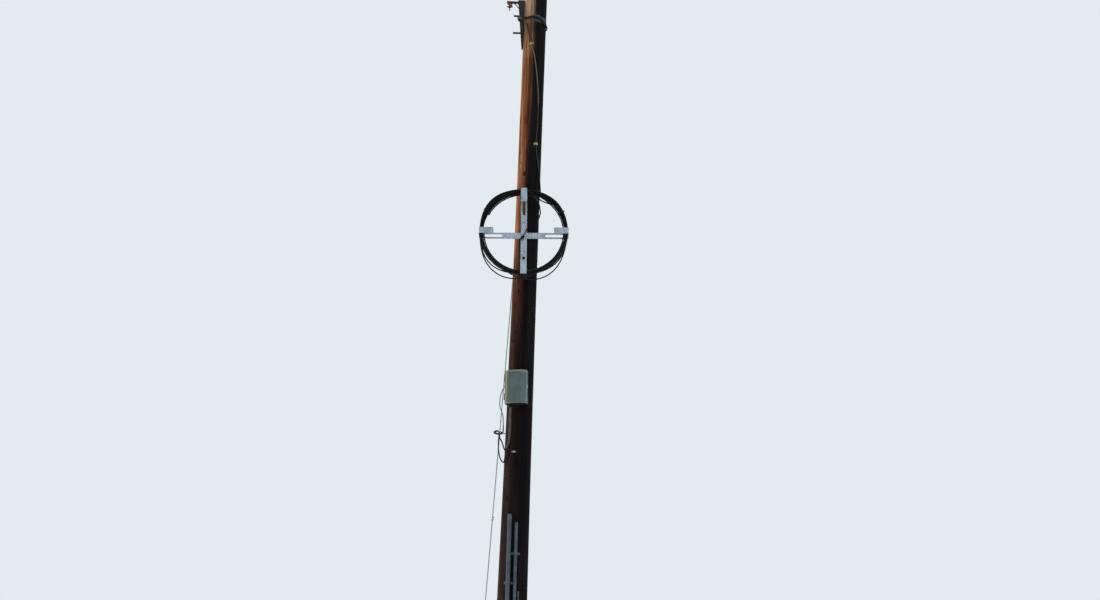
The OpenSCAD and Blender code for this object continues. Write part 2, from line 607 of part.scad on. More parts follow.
// Rail on the pole's left side, held by two studs screwed into the pole
rail_w = 50;
rail_t = 4;
rail_low_z = rail_bolt_z[1] - 139;
stud_out = 88;
stud_end = 20;
nut_h = 12;
nut_w = 27;
rail_x = -pole_r(rail_low_z) - seat_gap;
function rail_depth(z) = rail_d + (rail_top_d - rail_d) * (z - rail_low_z) / rail_l;
module side_rail() color("gray") difference() {
    translate([0, rail_w / 2, 0]) rotate([90, 0, 0]) linear_extrude(rail_w) polygon([[rail_x, rail_low_z],
        [rail_x, rail_low_z + rail_l], [rail_x - rail_top_d, rail_low_z + rail_l],
        [rail_x - rail_d, rail_low_z]]);
    translate([rail_x - rail_t - 2 * rail_top_d, rail_t - rail_w / 2, rail_low_z - 1])
        cube([2 * rail_top_d, rail_w - 2 * rail_t, rail_l + 2]);
    for (z = rail_bolt_z) translate([rail_x - 2 * rail_t, 0, z]) rotate([0, 90, 0])
        cylinder(h = 3 * rail_t, d = rail_bolt_d + 2 * seat_gap, $fn = round_fn);
}
module rail_bolts() color("gray") for (z = rail_bolt_z) {
    translate([rail_x - stud_out, 0, z]) rotate([0, 90, 0])
        cylinder(h = stud_out - rail_x - stud_end, d = rail_bolt_d, $fn = round_fn);
    translate([rail_x - rail_t - seat_gap - nut_h, 0, z]) rotate([0, 90, 0]) rotate([0, 0, 30])
        cylinder(h = nut_h, d = across(nut_w), $fn = 6);
}
arm_z = pole_h - arm_drop;
arm_w = rail_w - 2 * rail_t - 2 * seat_gap;
arm_t = 6;
brace_d = 8;
brace_low_z = rail_bolt_z[0] + across(nut_w) / 2 + brace_d / 2 + 2;
// Braces from under the arm back to the rail, a long one in front of a short one
braces = [[-12, 58 - arm_reach], [12, 96 - arm_reach]];
module brace(y, top_x) let (tilt = atan((rail_x - rail_t - top_x) / (arm_z - brace_low_z)))
    bar([top_x, y, arm_z - seat_gap - brace_d / 2 * sin(tilt)],
        [rail_x - rail_t - seat_gap - brace_d / 2 * cos(tilt), y, brace_low_z], brace_d);
module arm_braces() color("gray") for (b = braces) brace(b[0], b[1]);
module line_arm() color("gray") translate([-arm_reach, -arm_w / 2, arm_z])
    cube([arm_reach + rail_x - rail_t - seat_gap, arm_w, arm_t]);

// Spool insulator under the arm's end, on a pin with a collar
insulator_x = 25 - arm_reach;
insulator_h = 40;
link_l = 74;
link_d = 8;
collar_h = 5;
spool = [[6.5, 0], [20, 0], [26, 6], [24, 12], [15, 16], [15, 24], [24, 28], [26, 34], [20, 40], [6.5, 40]];
module arm_insulator() color("brown") translate([insulator_x, 0, arm_z - insulator_h - seat_gap])
    rotate_extrude($fn = 64) polygon(spool);
module arm_link() color("gray") translate([insulator_x, 0, arm_z - seat_gap]) {
    translate([0, 0, -link_l]) cylinder(h = link_l, d = link_d, $fn = round_fn);
    translate([0, 0, -insulator_h - seat_gap - collar_h])
        cylinder(h = collar_h, d = 2.4 * link_d, $fn = round_fn);
}

// Stay: a strand that winds nearly twice round the pole and runs down behind it to the anchor rod
wrap_tilt = 0.38;
wrap_from = -152;
wrap_to = 512;
wrap_pitch = 1.2 * strand_d;
guard_t = 2;
guard_h = 58;
guard_up = 20;
guard_tilt = 0.2;
wrap_out = guard_t + 2 * seat_gap + strand_d / 2;
// The strand swells over the rail and rides up over the guard plate.
// Its last leg lifts over the turn below it.
function wrap_rise(a) = bulge(a, 26, 15, 75) - bulge(a, 16, -60, 42);
function wrap_point(a) = let (lift = max(0, a - 440) / (wrap_to - 440) * (wrap_pitch + 2),
    q = by_pole(a, guy_z, wrap_out + lift + bulge(a, rail_depth(guy_z) + 12, -90, 62)))
    [q.x, q.y, guy_z - wrap_tilt * q.x + wrap_rise(a) + wrap_pitch * ((a - wrap_from) / 360 - 1)];
guy_foot = [-guy_left, guy_back, 0];
guy_az = 180 + atan(guy_left / guy_back);
guy_head = by_pole(guy_az, guy_z, wrap_out);
guy_v = unit(guy_head - guy_foot);
guy_l = norm(guy_head - guy_foot);
guy_side = unit(cross(guy_v, [0, 0, 1]));
function on_line(at, side = 0) = guy_foot + at * guy_v + side * guy_side;
module on_guy() translate(guy_foot) rotate([0, acos(guy_v.z), atan2(guy_v.y, guy_v.x)]) children();

// Each grip holds the strand and its returned tail side by side
legs_l = 260;
tail_gap = 0.5;
beside = (strand_d + tail_gap) / 2;
grip_top = guy_l - legs_l;
grip_wall = 3;
grip_bore = 2 * strand_d + tail_gap + 2 * seat_gap;
tail_l = grip_l - 60;
leg_out = 8;
module grip(at) on_guy() translate([0, 0, at]) difference() {
    cylinder(h = grip_l, d = grip_bore + 2 * grip_wall, $fn = round_fn);
    translate([0, 0, -1]) cylinder(h = grip_l + 2, d = grip_bore, $fn = round_fn);
}
insulator_half = 22;
insulator_profile = [[0, -22], [8, -22], [14, -15], [14, -6], [10, -2],
    [10, 2], [14, 6], [14, 15], [8, 22], [0, 22]];
function both_legs(short_end, bend, turn, long_end) = concat(
    [on_line(short_end, beside), on_line(bend, beside)], turn,
    [on_line(bend, -beside), on_line(long_end, -beside)]);
module guy_strand_upper() color(galvanised) tube(both_legs(grip_top - tail_l, grip_top + leg_out,
    [for (a = [wrap_from:8:wrap_to]) wrap_point(a)], insulator_at + insulator_half + seat_gap), strand_d);
module guy_grip_upper() color(galvanised) grip(grip_top - grip_l);
module guy_guard_plate() color(galvanised) intersection() {
    pole_band(-8, 88, guy_z, guard_t, 300);
    translate([0, 0, guy_z + guard_up]) rotate([0, atan(guard_tilt), 0])
        translate([-300, -300, -guard_h / 2]) cube([600, 600, guard_h]);
}
module guy_insulator() color("ghostwhite") on_guy() translate([0, beside, insulator_at])
    rotate_extrude($fn = 64) polygon(insulator_profile);

// The lower strand turns through the eye of the anchor rod
rod_d = 20;
eye_d = 16;
eye_r = 24;
eye_at = rod_l + eye_r;
turn_at = eye_at + eye_r;
turn_r = (eye_d + strand_d) / 2 + seat_gap;
grip_low = turn_at + 70;
eye_turn = [for (a = [0:20:180]) on_line(turn_at - turn_r * sin(a), turn_r * cos(a))];
module guy_strand_lower() color(galvanised) tube(both_legs(grip_low + tail_l, grip_low - leg_out,
    eye_turn, insulator_at - insulator_half - seat_gap), strand_d);
module guy_grip_lower() color(galvanised) grip(grip_low);
// Rod with an eye, cut off level with the ground
module guy_anchor_rod() color(galvanised) let (n = 32,
    top = ring(on_line(rod_l), guy_side, cross(guy_v, guy_side), rod_d / 2, n)) {
    polyhedron(concat([for (p = top) p - guy_v * p.z / guy_v.z], top),
        concat([[for (k = [0:n - 1]) k], [for (k = [n - 1:-1:0]) n + k]], skin(0, n, n)));
    on_guy() translate([0, 0, eye_at]) rotate([90, 0, 0]) rotate_extrude($fn = 64)
        translate([eye_r, 0]) circle(d = eye_d, $fn = 32);
}

pole();
cross_vertical_strap();
cross_horizontal_strap();
cross_screws();
coil_turns_main();
coil_turns_sagging();
coil_ties();
centre_tie();
front_cable();
front_cable_clips();
box_bracket();
box_bracket_screws();
box_body();
box_door();
box_hinge_pin();
box_latch();
box_glands();
feed_cable();
slack_loops();
slack_hook();
side_cable();
spare_saddle();
conduit_large();
conduit_small();
conduit_thin();
conduit_saddles();
saddle_screws();
side_rail();
rail_bolts();
line_arm();
arm_braces();
arm_insulator();
arm_link();
guy_guard_plate();
guy_grip_upper();
guy_strand_upper();
guy_insulator();
guy_strand_lower();
guy_grip_lower();
guy_anchor_rod();
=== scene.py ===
# Wooden utility pole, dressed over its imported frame. Metres, Z up, the front faces -Y.
# Azimuths are measured round the pole from its front, positive towards +X.
import json
import math

import bmesh
import bpy
from mathutils import Euler, Matrix, Quaternion, Vector


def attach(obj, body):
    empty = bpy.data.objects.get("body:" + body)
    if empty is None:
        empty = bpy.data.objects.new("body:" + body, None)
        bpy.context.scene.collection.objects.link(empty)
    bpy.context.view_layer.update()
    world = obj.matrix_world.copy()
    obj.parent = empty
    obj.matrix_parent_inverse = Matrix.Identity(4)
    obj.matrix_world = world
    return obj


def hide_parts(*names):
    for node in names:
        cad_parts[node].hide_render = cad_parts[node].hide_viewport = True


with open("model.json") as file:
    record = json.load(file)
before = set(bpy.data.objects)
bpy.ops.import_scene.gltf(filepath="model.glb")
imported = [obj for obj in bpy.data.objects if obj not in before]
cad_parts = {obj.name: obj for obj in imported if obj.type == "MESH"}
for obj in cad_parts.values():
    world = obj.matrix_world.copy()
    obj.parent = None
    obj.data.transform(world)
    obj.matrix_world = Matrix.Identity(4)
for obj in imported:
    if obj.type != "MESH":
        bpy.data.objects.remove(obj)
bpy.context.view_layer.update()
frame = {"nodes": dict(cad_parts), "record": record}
cadNodes = frame["nodes"]
print("frame loaded with", len(cadNodes), "nodes")


# Small helpers

def linearColour(hexText):  # sRGB hex to the linear colour that sockets take
    parts = [int(hexText[i:i + 2], 16) / 255 for i in (0, 2, 4)]
    return [c / 12.92 if c <= 0.04045 else ((c + 0.055) / 1.055) ** 2.4 for c in parts] + [1.0]


def addNode(tree, kind, settings=None, inputs=None):  # a node, its settings, and its inputs' values or links
    node = tree.nodes.new(kind)
    for name, value in (settings or {}).items():
        setattr(node, name, value)
    for key, value in (inputs or {}).items():
        if isinstance(value, bpy.types.NodeSocket):
            tree.links.new(value, node.inputs[key])
        else:
            node.inputs[key].default_value = value
    return node


def newMaterial(name, shaderValues):
    material = bpy.data.materials.new(name)
    material.use_nodes = True
    tree = material.node_tree
    tree.nodes.clear()
    shader = addNode(tree, "ShaderNodeBsdfPrincipled", inputs=shaderValues)
    addNode(tree, "ShaderNodeOutputMaterial", inputs={"Surface": shader.outputs["BSDF"]})
    place = addNode(tree, "ShaderNodeTexCoord").outputs["Object"]
    return material, tree, shader, place


def dressShader(tree, shader, colour, height, strength, distanceMm):  # its colour, and a relief that follows height
    bump = addNode(tree, "ShaderNodeBump", inputs={
        "Strength": strength, "Distance": distanceMm / 1000, "Height": height})
    tree.links.new(colour, shader.inputs["Base Color"])
    tree.links.new(bump.outputs[0], shader.inputs["Normal"])


def linkedObject(name, data):
    thing = bpy.data.objects.new(name, data)
    bpy.context.scene.collection.objects.link(thing)
    return thing


def placePiece(name, mesh, body, replaced=(), smooth=True):  # a finished mesh becomes a piece
    mesh.name = name
    piece = linkedObject(name, mesh)
    for face in mesh.polygons:
        face.use_smooth = smooth
    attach(piece, body)
    if replaced:
        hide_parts(*replaced)
    return piece


def pathMesh(name, paths, closed=False):  # edges along one or more lists of points
    verts, edges = [], []
    for points in paths:
        start = len(verts)
        verts += [tuple(p) for p in points]
        edges += [(start + i, start + i + 1) for i in range(len(points) - 1)]
        if closed:
            edges.append((len(verts) - 1, start))
    mesh = bpy.data.meshes.new(name)
    mesh.from_pydata(verts, edges, [])
    return mesh


def runTree(tree, source, values):  # evaluates a node tree on a mesh and returns the plain result
    holder = linkedObject("treeHolder", source)
    modifier = holder.modifiers.new("tree", "NODES")
    modifier.node_group = tree
    sockets = {item.name: item.identifier for item in tree.interface.items_tree
               if item.item_type == "SOCKET" and item.in_out == "INPUT"}
    for name, value in values.items():
        modifier[sockets[name]] = value
    evaluated = holder.evaluated_get(bpy.context.evaluated_depsgraph_get())
    result = bpy.data.meshes.new_from_object(evaluated)
    bpy.data.objects.remove(holder)
    bpy.data.meshes.remove(source)
    return result


# Materials

eased, even = "SMOOTHSTEP", "LINEAR"  # how a Map Range runs from one limit to the other

poleShape = {"height": 7600.0, "buttRadius": 156.0, "topRadius": 94.0, "flare": 2.6}  # millimetres

poleLook = {
    "sunBleached": "A96A42", "warm": "7B4328", "reddish": "4A2A24", "shaded": "2B2322", "creosoteAndShade": "0E0B0D",
    "tan": "B18A64", "sunPatchColour": "E2B79C", "ridge": "C99A78", "endGrainPale": "8A6A4C", "endGrainDark": "4A3322",
    "fibreMm": 3.0, "streakMm": 26.0, "veinMm": 10.4, "crackMm": 24.0, "patchMm": 85.0,
    "ringMm": 5.0,  # fibres and rings are finer in real pine, and are drawn this coarse so that they show
    "tanFrom": 6.75, "dryFrom": 5.25, "castShadowBelow": 4.42,  # heights in metres: tan and brown wood meet here, and a painted cast shadow darkens the pole below the last
    "sunPatchAbove": 7.2, "shadeNarrowsFrom": 6.25, "wrapShadowAt": 7.13, "wrapShadowReach": 0.09,  # and these, in metres too: a painted patch of sunlight at the top, where the painted shaded side starts to narrow, and a painted shadow band under the strand's turns
    "shadedSideFrom": -12.0, "shadedSideWidth": 142.0,  # azimuth in degrees where the painted shade on the side away from the key light starts, and how far it goes
    "checkDepthMm": 1.5, "topBevelMm": 4.5,  # wood below this depth is in a check, and the top starts at its bevel
}


# pressure-treated pine: long brown fibres in sun-bleached streaks, painted shade on the side away from the key light
# and low down, a painted patch of sunlight at the top, and a painted shadow under the strand's turns
def creosotedPine(look):
    material, tree, shader, place = newMaterial("creosotedPine", {"Roughness": 0.86, "Specular IOR Level": 0.1})
    axes = addNode(tree, "ShaderNodeSeparateXYZ", inputs={0: place})
    flat = addNode(tree, "ShaderNodeCombineXYZ", inputs={"X": axes.outputs["X"], "Y": axes.outputs["Y"]})
    across = addNode(tree, "ShaderNodeVectorMath", {"operation": "LENGTH"}, {0: flat.outputs[0]})
    rings = addNode(tree, "ShaderNodeTexWave", {"wave_type": "RINGS", "rings_direction": "Z"}, {
        "Vector": place, "Scale": 100 * math.pi / look["ringMm"], "Distortion": 1.4, "Detail": 2.0,
        "Detail Scale": 3.0})
    made = {key: linearColour(value) for key, value in look.items() if isinstance(value, str)}
    made.update({"x": axes.outputs["X"], "y": axes.outputs["Y"], "height": axes.outputs["Z"],
                 "across": across.outputs["Value"], "rings": rings.outputs["Fac"]})
    for name, stretch, detail in (("fibre", 45, 5.0), ("streak", 18, 4.0), ("vein", 34, 3.0), ("crack", 30, 2.0),
                                  ("patch", 3, 4.0)):  # noise drawn out along the trunk
        size = 500 / look[name + "Mm"]  # a cell holds a light one and a dark one
        spread = addNode(tree, "ShaderNodeMapping", inputs={"Vector": place, "Scale": (size, size, size / stretch)})
        made[name] = addNode(tree, "ShaderNodeTexNoise", inputs={
            "Vector": spread.outputs[0], "Scale": 1.0, "Detail": detail, "Roughness": 0.62}).outputs["Fac"]

    # masks: a name, then a Math operation with its values, or a Map Range shape with its value and limits
    middle, edge = math.radians(look["shadedSideFrom"] + look["shadedSideWidth"] / 2), math.cos(math.radians(look["shadedSideWidth"] / 2))
    shadeNarrows, sunPatchFrom, tan, dry, castShadow = (look[k] for k in ("shadeNarrowsFrom", "sunPatchAbove", "tanFrom", "dryFrom", "castShadowBelow"))
    tall, top = poleShape["height"] / 1000, poleShape["topRadius"] / 1000
    for name, how, *values in (
            # painted shade on the side away from the key light, which draws back above the middle and has a ragged
            # edge
            ("front", "MULTIPLY", "y", -1.0), ("azimuth", "ARCTAN2", "x", "front"),
            ("ragged", even, "streak", 0.3, 0.7, -0.28, 0.28), ("azimuth", "ADD", "azimuth", "ragged"),
            ("drawnBack", eased, "height", shadeNarrows - 0.3, shadeNarrows + 0.3, 0.0, 0.15),
            ("azimuth", "SUBTRACT", "azimuth", "drawnBack"), ("away", "SUBTRACT", "azimuth", middle),
            ("facing", "COSINE", "away"), ("shadedSide", eased, "facing", edge - 0.36, edge + 0.3),
            # levels that wander up and down, streaks, veins and ridges
            ("wander", even, "patch", 0.3, 0.7, -0.5, 0.5), ("level", "ADD", "height", "wander"),
            ("sunny", eased, "streak", 0.42, 0.58), ("veins", eased, "vein", 0.52, 0.62, 0.0, 0.85),
            ("ridges", eased, "vein", 0.46, 0.37, 0.0, 0.8),
            # a painted patch of sunlight at the top on the lit side, and a painted shadow under the turns of strand
            ("sunPatchRough", "MULTIPLY", "wander", 0.1), ("sunPatchLevel", "ADD", "height", "sunPatchRough"),
            ("sunPatch", eased, "sunPatchLevel", sunPatchFrom, sunPatchFrom + 0.03, 0.0, 0.95),
            ("sunwardSide", eased, "x", 0.03, -0.02), ("sunPatch", "MULTIPLY", "sunPatch", "sunwardSide"),
            ("sunPatchStreaks", eased, "streak", 0.4, 0.55, 0.55, 1.0), ("sunPatch", "MULTIPLY", "sunPatch", "sunPatchStreaks"),
            ("cloudy", eased, "patch", 0.34, 0.62, 0.74, 1.2),
            ("fromWrap", "SUBTRACT", "height", look["wrapShadowAt"]), ("fromWrap", "ABSOLUTE", "fromWrap"),
            ("shadowUnderWrap", eased, "fromWrap", look["wrapShadowReach"], 0.01, 0.0, 0.8),
            # tan and brown stretches, a painted cast shadow low down, and dark runs in the painted shade
            ("dullPatches", eased, "patch", 0.35, 0.65),
            ("high", eased, "level", tan - 0.3, tan + 0.4, 0.0, 0.7), ("high", "MULTIPLY", "high", "streak"),
            ("dry", eased, "level", dry - 0.55, dry + 0.35),
            ("castShadow", eased, "level", castShadow + 0.45, castShadow - 0.35), ("castShadow", "MULTIPLY", "castShadow", 0.86),
            ("castShadowRuns", eased, "streak", 0.35, 0.65), ("shadedSideRuns", eased, "streak", 0.4, 0.75, 0.0, 0.6),
            ("fibreTone", even, "fibre", 0.3, 0.7, 0.5, 1.3),
            # fine drying cracks between the large checks, which are dark inside
            ("crackSize", "SUBTRACT", "crack", 0.5), ("crackSize", "ABSOLUTE", "crackSize"),
            ("cracks", even, "crackSize", 0.002, 0.011, 1.0, 0.0),
            ("upward", even, "height", 0.0, tall, 1.0, 0.0), ("upward", "POWER", "upward", poleShape["flare"]),
            ("skin", "MULTIPLY_ADD", "upward", (poleShape["buttRadius"] - poleShape["topRadius"]) / 1000,
             top - look["checkDepthMm"] / 1000), ("inChecks", "LESS_THAN", "across", "skin"),
            # the sawn top, and the relief of fibres, cracks and veins
            ("onTop", "GREATER_THAN", "height", tall - look["topBevelMm"] / 1000),
            ("relief", "SUBTRACT", "fibre", "cracks"), ("veinRelief", "MULTIPLY", "vein", 0.8),
            ("relief", "ADD", "relief", "veinRelief")):
        values = [made.get(value, value) for value in values]
        if how in (even, eased):
            node = addNode(tree, "ShaderNodeMapRange", {"interpolation_type": how},
                           dict(zip(("Value", "From Min", "From Max", "To Min", "To Max"), values)))
        else:
            node = addNode(tree, "ShaderNodeMath", {"operation": how}, dict(enumerate(values)))
        made[name] = node.outputs[0]

    # layers of colour: a name, how it is mixed, the mask, what lies under and what lies over
    for name, mode, mask, under, over in (
            ("wood", "MIX", "sunny", "warm", "sunBleached"), ("wood", "MIX", "veins", "wood", "reddish"),
            # the next line's second layer is a painted patch of sunlight at the top
            ("wood", "MIX", "ridges", "wood", "ridge"), ("wood", "MIX", "sunPatch", "wood", "sunPatchColour"),
            # the next line's second layer is a painted shadow under the strand's turns
            ("wood", "MULTIPLY", 1.0, "wood", "cloudy"), ("wood", "MIX", "shadowUnderWrap", "wood", "shaded"),
            ("wood", "MIX", "high", "wood", "tan"), ("dull", "MIX", "dullPatches", "reddish", "shaded"),
            ("dull", "MIX", 0.38, "dull", "warm"), ("wood", "MIX", "dry", "dull", "wood"),
            # painted shade: the cast shadow low down, with dark runs
            ("paintedShade", "MIX", "castShadowRuns", "creosoteAndShade", "shaded"), ("wood", "MIX", "castShadow", "wood", "paintedShade"),
            # painted shade on the side away from the key light, with dark runs
            ("paintedShade", "MIX", "shadedSideRuns", "creosoteAndShade", "shaded"), ("wood", "MIX", "shadedSide", "wood", "paintedShade"),
            ("wood", "MULTIPLY", 1.0, "wood", "fibreTone"), ("wood", "MIX", "cracks", "wood", "creosoteAndShade"),
            ("wood", "MIX", "inChecks", "wood", "creosoteAndShade"),
            ("endGrain", "MIX", "rings", "endGrainDark", "endGrainPale"),
            ("wood", "MIX", "onTop", "wood", "endGrain")):
        made[name] = addNode(tree, "ShaderNodeMix", {"data_type": "RGBA", "blend_type": mode}, {
            "Factor": made.get(mask, mask), 6: made[under], 7: made[over]}).outputs[2]
    dressShader(tree, shader, made["wood"], made["relief"], 0.75, 2.2)
    return material


# the near-black tone is painted shade for knots away from the key light and low on the pole
knotLook = {"heart": "54301F", "ring": "2A150E", "rim": "8A5A42", "shadedKnot": "0D0908", "ringMm": 2.4, "wobbleMm": 17.0,
            "bendMm": 6.0, "rimFromMm": 14.0, "rimToMm": 24.0}


def branchKnot(look):  # a trimmed branch stub: tight dark rings round a resinous heart, and a paler rim
    material, tree, shader, place = newMaterial("branchKnot", {"Roughness": 0.8, "Specular IOR Level": 0.1})
    local = addNode(tree, "ShaderNodeAttribute", {"attribute_name": "knotPlace"}).outputs["Vector"]
    wobble = addNode(tree, "ShaderNodeTexNoise", inputs={
        "Vector": local, "Scale": 1000 / look["wobbleMm"], "Detail": 3.0})
    reach = addNode(tree, "ShaderNodeVectorMath", {"operation": "LENGTH"}, {0: local}).outputs["Value"]
    bent = addNode(tree, "ShaderNodeMath", {"operation": "MULTIPLY_ADD"}, {
        0: wobble.outputs["Fac"], 1: look["bendMm"] / 1000, 2: reach}).outputs[0]
    phase = addNode(tree, "ShaderNodeMath", {"operation": "MULTIPLY"}, {0: bent, 1: 2000 * math.pi / look["ringMm"]})
    wave = addNode(tree, "ShaderNodeMath", {"operation": "SINE"}, {0: phase.outputs[0]}).outputs[0]
    axes = addNode(tree, "ShaderNodeSeparateXYZ", inputs={0: place})
    masks = []
    for value, low, high, shape in (
            (wave, -1.0, 1.0, even), (bent, look["rimFromMm"] / 1000, look["rimToMm"] / 1000, eased),
            (axes.outputs["X"], -0.03, 0.02, even), (axes.outputs["Z"], 5.2, 4.3, even)):
        masks.append(addNode(tree, "ShaderNodeMapRange", {"interpolation_type": shape}, {
            "Value": value, "From Min": low, "From Max": high}).outputs[0])
    rings, outer, side, low = masks
    # painted shade: a mask for the side away from the key light and for the shadow low on the pole
    shadedKnot = addNode(tree, "ShaderNodeMath", {"operation": "MAXIMUM"}, {0: side, 1: low}).outputs[0]
    colour = linearColour(look["ring"])
    for mask, key in ((rings, "heart"), (outer, "rim"), (shadedKnot, "shadedKnot")):  # painted shade darkens the knots on the side away from the key light and low on the pole
        colour = addNode(tree, "ShaderNodeMix", {"data_type": "RGBA"}, {
            "Factor": mask, 6: colour, 7: linearColour(look[key])}).outputs[2]
    dressShader(tree, shader, colour, wave, 0.5, 1.0)
    return material


steelPattern = {"cloudMm": 45.0, "runWidthMm": 17.0, "runLengthMm": 110.0}  # dull clouds, and stains that run down

steelLook = {
    # dipped in molten zinc: pale blue-grey crystals and brown runs, with painted shade blackening the undersides
    "hotDipGalvanised": {"light": "B9C6D0", "dull": "8F9DA8", "stain": "6B6660", "roughness": 0.46,
                         "metallic": 0.7, "spangleMm": 9.0, "stained": 0.26, "undersideShade": "181B1D"},
    # old zinc on tube: flat slate grey that hardly shines
    "agedConduitZinc": {"light": "5E6A75", "dull": "424C56", "stain": "2E2A2A", "roughness": 0.56,
                        "metallic": 0.6, "spangleMm": 7.0, "stained": 0.4},
    # galvanised wires: bright ash grey, with painted shade blackening the turns round the pole's head
    "weatheredStrand": {"light": "C6CBCE", "dull": "9AA0A3", "stain": "6E655B", "roughness": 0.52,
                        "metallic": 0.6, "spangleMm": 5.0, "stained": 0.3, "wrapShade": "131011", "wrapShadeFrom": 6.9},
    # forged steel without its coat: nearly black, with a trace of rust
    "darkWeatheredSteel": {"light": "35312F", "dull": "1D1A1A", "stain": "4A2B1C", "roughness": 0.62,
                           "metallic": 0.5, "spangleMm": 6.0, "stained": 0.5},
    # rolled sheet gone matt: a darker bluish copy of the steel, painted shade for the plate on the side away from
    # the key light
    "dullGuardSteel": {"light": "4C535C", "dull": "31373F", "stain": "222226", "roughness": 0.6,
                       "metallic": 0.6, "spangleMm": 8.0, "stained": 0.45},
}


def coatedSteel(name, look):  # zinc crystals in two greys, dull patches and brown stains that run down
    material, tree, shader, place = newMaterial(name, {"Metallic": look["metallic"]})
    cells = addNode(tree, "ShaderNodeTexVoronoi", inputs={"Vector": place, "Scale": 1000 / look["spangleMm"]})
    crystal = addNode(tree, "ShaderNodeSeparateColor", inputs={0: cells.outputs["Color"]})
    cloud = addNode(tree, "ShaderNodeTexNoise", inputs={
        "Vector": place, "Scale": 1000 / steelPattern["cloudMm"], "Detail": 5.0}).outputs["Fac"]
    shade = addNode(tree, "ShaderNodeMath", {"operation": "MULTIPLY_ADD"}, {
        0: crystal.outputs[0], 1: 0.35, 2: cloud}).outputs[0]
    across, down = 1000 / steelPattern["runWidthMm"], 1000 / steelPattern["runLengthMm"]
    runs = addNode(tree, "ShaderNodeMapping", inputs={"Vector": place, "Scale": (across, across, down)})
    run = addNode(tree, "ShaderNodeTexNoise", inputs={"Vector": runs.outputs[0], "Scale": 1.0, "Detail": 4.0})
    height = addNode(tree, "ShaderNodeSeparateXYZ", inputs={0: place}).outputs["Z"]
    normal = addNode(tree, "ShaderNodeNewGeometry").outputs["Normal"]
    up = addNode(tree, "ShaderNodeSeparateXYZ", inputs={0: normal}).outputs["Z"]
    wrapShade = look.get("wrapShadeFrom", 0.0)
    colour = linearColour(look["dull"])
    for key, value, low, high, most, shape in (
            ("light", shade, 0.35, 1.0, 1.0, even),
            ("stain", run.outputs["Fac"], 0.5, 0.8, look["stained"] * 2, even),
            ("wrapShade", height, wrapShade, wrapShade + 0.2, 0.96, eased),  # painted shade on the strand's turns round the pole's head
            ("undersideShade", up, -0.5, -0.9, 0.92, eased)):  # painted shade on the undersides
        if key in look:
            share = addNode(tree, "ShaderNodeMapRange", {"interpolation_type": shape}, {
                "Value": value, "From Min": low, "From Max": high, "To Max": most})
            colour = addNode(tree, "ShaderNodeMix", {"data_type": "RGBA", "clamp_factor": True}, {
                "Factor": share.outputs[0], 6: colour, 7: linearColour(look[key])}).outputs[2]
    rough = addNode(tree, "ShaderNodeMapRange", inputs={
        "Value": shade, "From Max": 1.35, "To Min": look["roughness"] + 0.12, "To Max": look["roughness"] - 0.1})
    tree.links.new(rough.outputs[0], shader.inputs["Roughness"])
    dressShader(tree, shader, colour, cloud, 0.25, 0.6)
    return material


plasticPattern = {"fadeMm": 110.0, "runWidthMm": 22.0, "runLengthMm": 140.0}  # faded patches, and runs of dust

plasticLook = {
    # extruded black sheath: smooth, soft shine, barely dusty
    "blackPolyethylene": {"base": "090A0B", "worn": "141516", "dust": "2B2824", "roughness": 0.42, "grainMm": 3.0,
                          "dusty": 0.16, "gloss": 0.15},
    # the same sheath, with one stretch turned chalk-white by the sun; heights in metres
    "chalkedPolyethylene": {"base": "0B0C0D", "worn": "191A1B", "dust": "2E2B27", "roughness": 0.5, "grainMm": 3.0,
                            "dusty": 0.2, "chalk": "D3D8DB", "chalkFrom": 3.74, "chalkTo": 4.2},
    # the same sheath with a painted highlight: a dull olive tint over the stretch higher up where sunlight fell on
    # it
    "driedPolyethylene": {"base": "0C0C0C", "worn": "1B1B19", "dust": "33302A", "roughness": 0.5, "grainMm": 3.0,
                          "dusty": 0.3, "chalk": "6E6544", "chalkFrom": 6.45, "chalkTo": 6.97},
    # the feed cable's sheath: brownish grey, matt and grubby
    "tanPolyethylene": {"base": "4A4444", "worn": "665C58", "dust": "3A3230", "roughness": 0.5, "grainMm": 4.0,
                        "dusty": 0.35},
    # moulded polyamide: straw yellow, paler where it is rubbed
    "palePolyamide": {"base": "B0A862", "worn": "CFC88E", "dust": "7C7550", "roughness": 0.5, "grainMm": 3.0,
                      "dusty": 0.3},
    # pressed glass-filled cover: grey-green, with painted bands of light and shade and painted highlights on its
    # rims
    "mouldedPolyester": {"base": "4F6463", "worn": "64766F", "dust": "86847A", "roughness": 0.5, "grainMm": 1.2,
                         "dusty": 0.3, "paintedLight": "A29C88", "rim": "8B9A9A", "shadow": "4C5245", "turned": -11.5,
                         "undersideShade": "1C2021"},
    # the same plastic, darker and bluer: painted shade for the box's body behind the cover
    "shadedPolyester": {"base": "3C4A50", "worn": "4C5A5E", "dust": "5A5850", "roughness": 0.55, "grainMm": 1.2,
                        "dusty": 0.35, "undersideShade": "101315"},
    # hand-pressed duct seal: lumpy, dead matt and dirty
    "sealingPutty": {"base": "3A3733", "worn": "514C44", "dust": "2A2826", "roughness": 0.85, "grainMm": 6.0,
                     "dusty": 0.5},
    # cellular rubber: flat black
    "softRubber": {"base": "101112", "worn": "1C1D1E", "dust": "35322E", "roughness": 0.7, "grainMm": 2.0,
                   "dusty": 0.3},
}

coverBands = [  # bands of painted light and shade across the cover: a shaded strip beside the lit bevel, the lit bevel, the side wall in shade beyond it, a highlight on the far rim, and highlights along the top and bottom edges; colour, direction, where the band starts and is full in metres, and how strong it is
    ("shadow", "across", -0.04, -0.054, 0.65), ("paintedLight", "across", -0.065, -0.071, 0.8),
    ("base", "across", -0.0805, -0.083, 0.7), ("rim", "across", 0.082, 0.086, 0.65),
    ("paintedLight", "height", 4.136, 4.143, 0.65), ("paintedLight", "height", 3.8955, 3.892, 0.5),
]


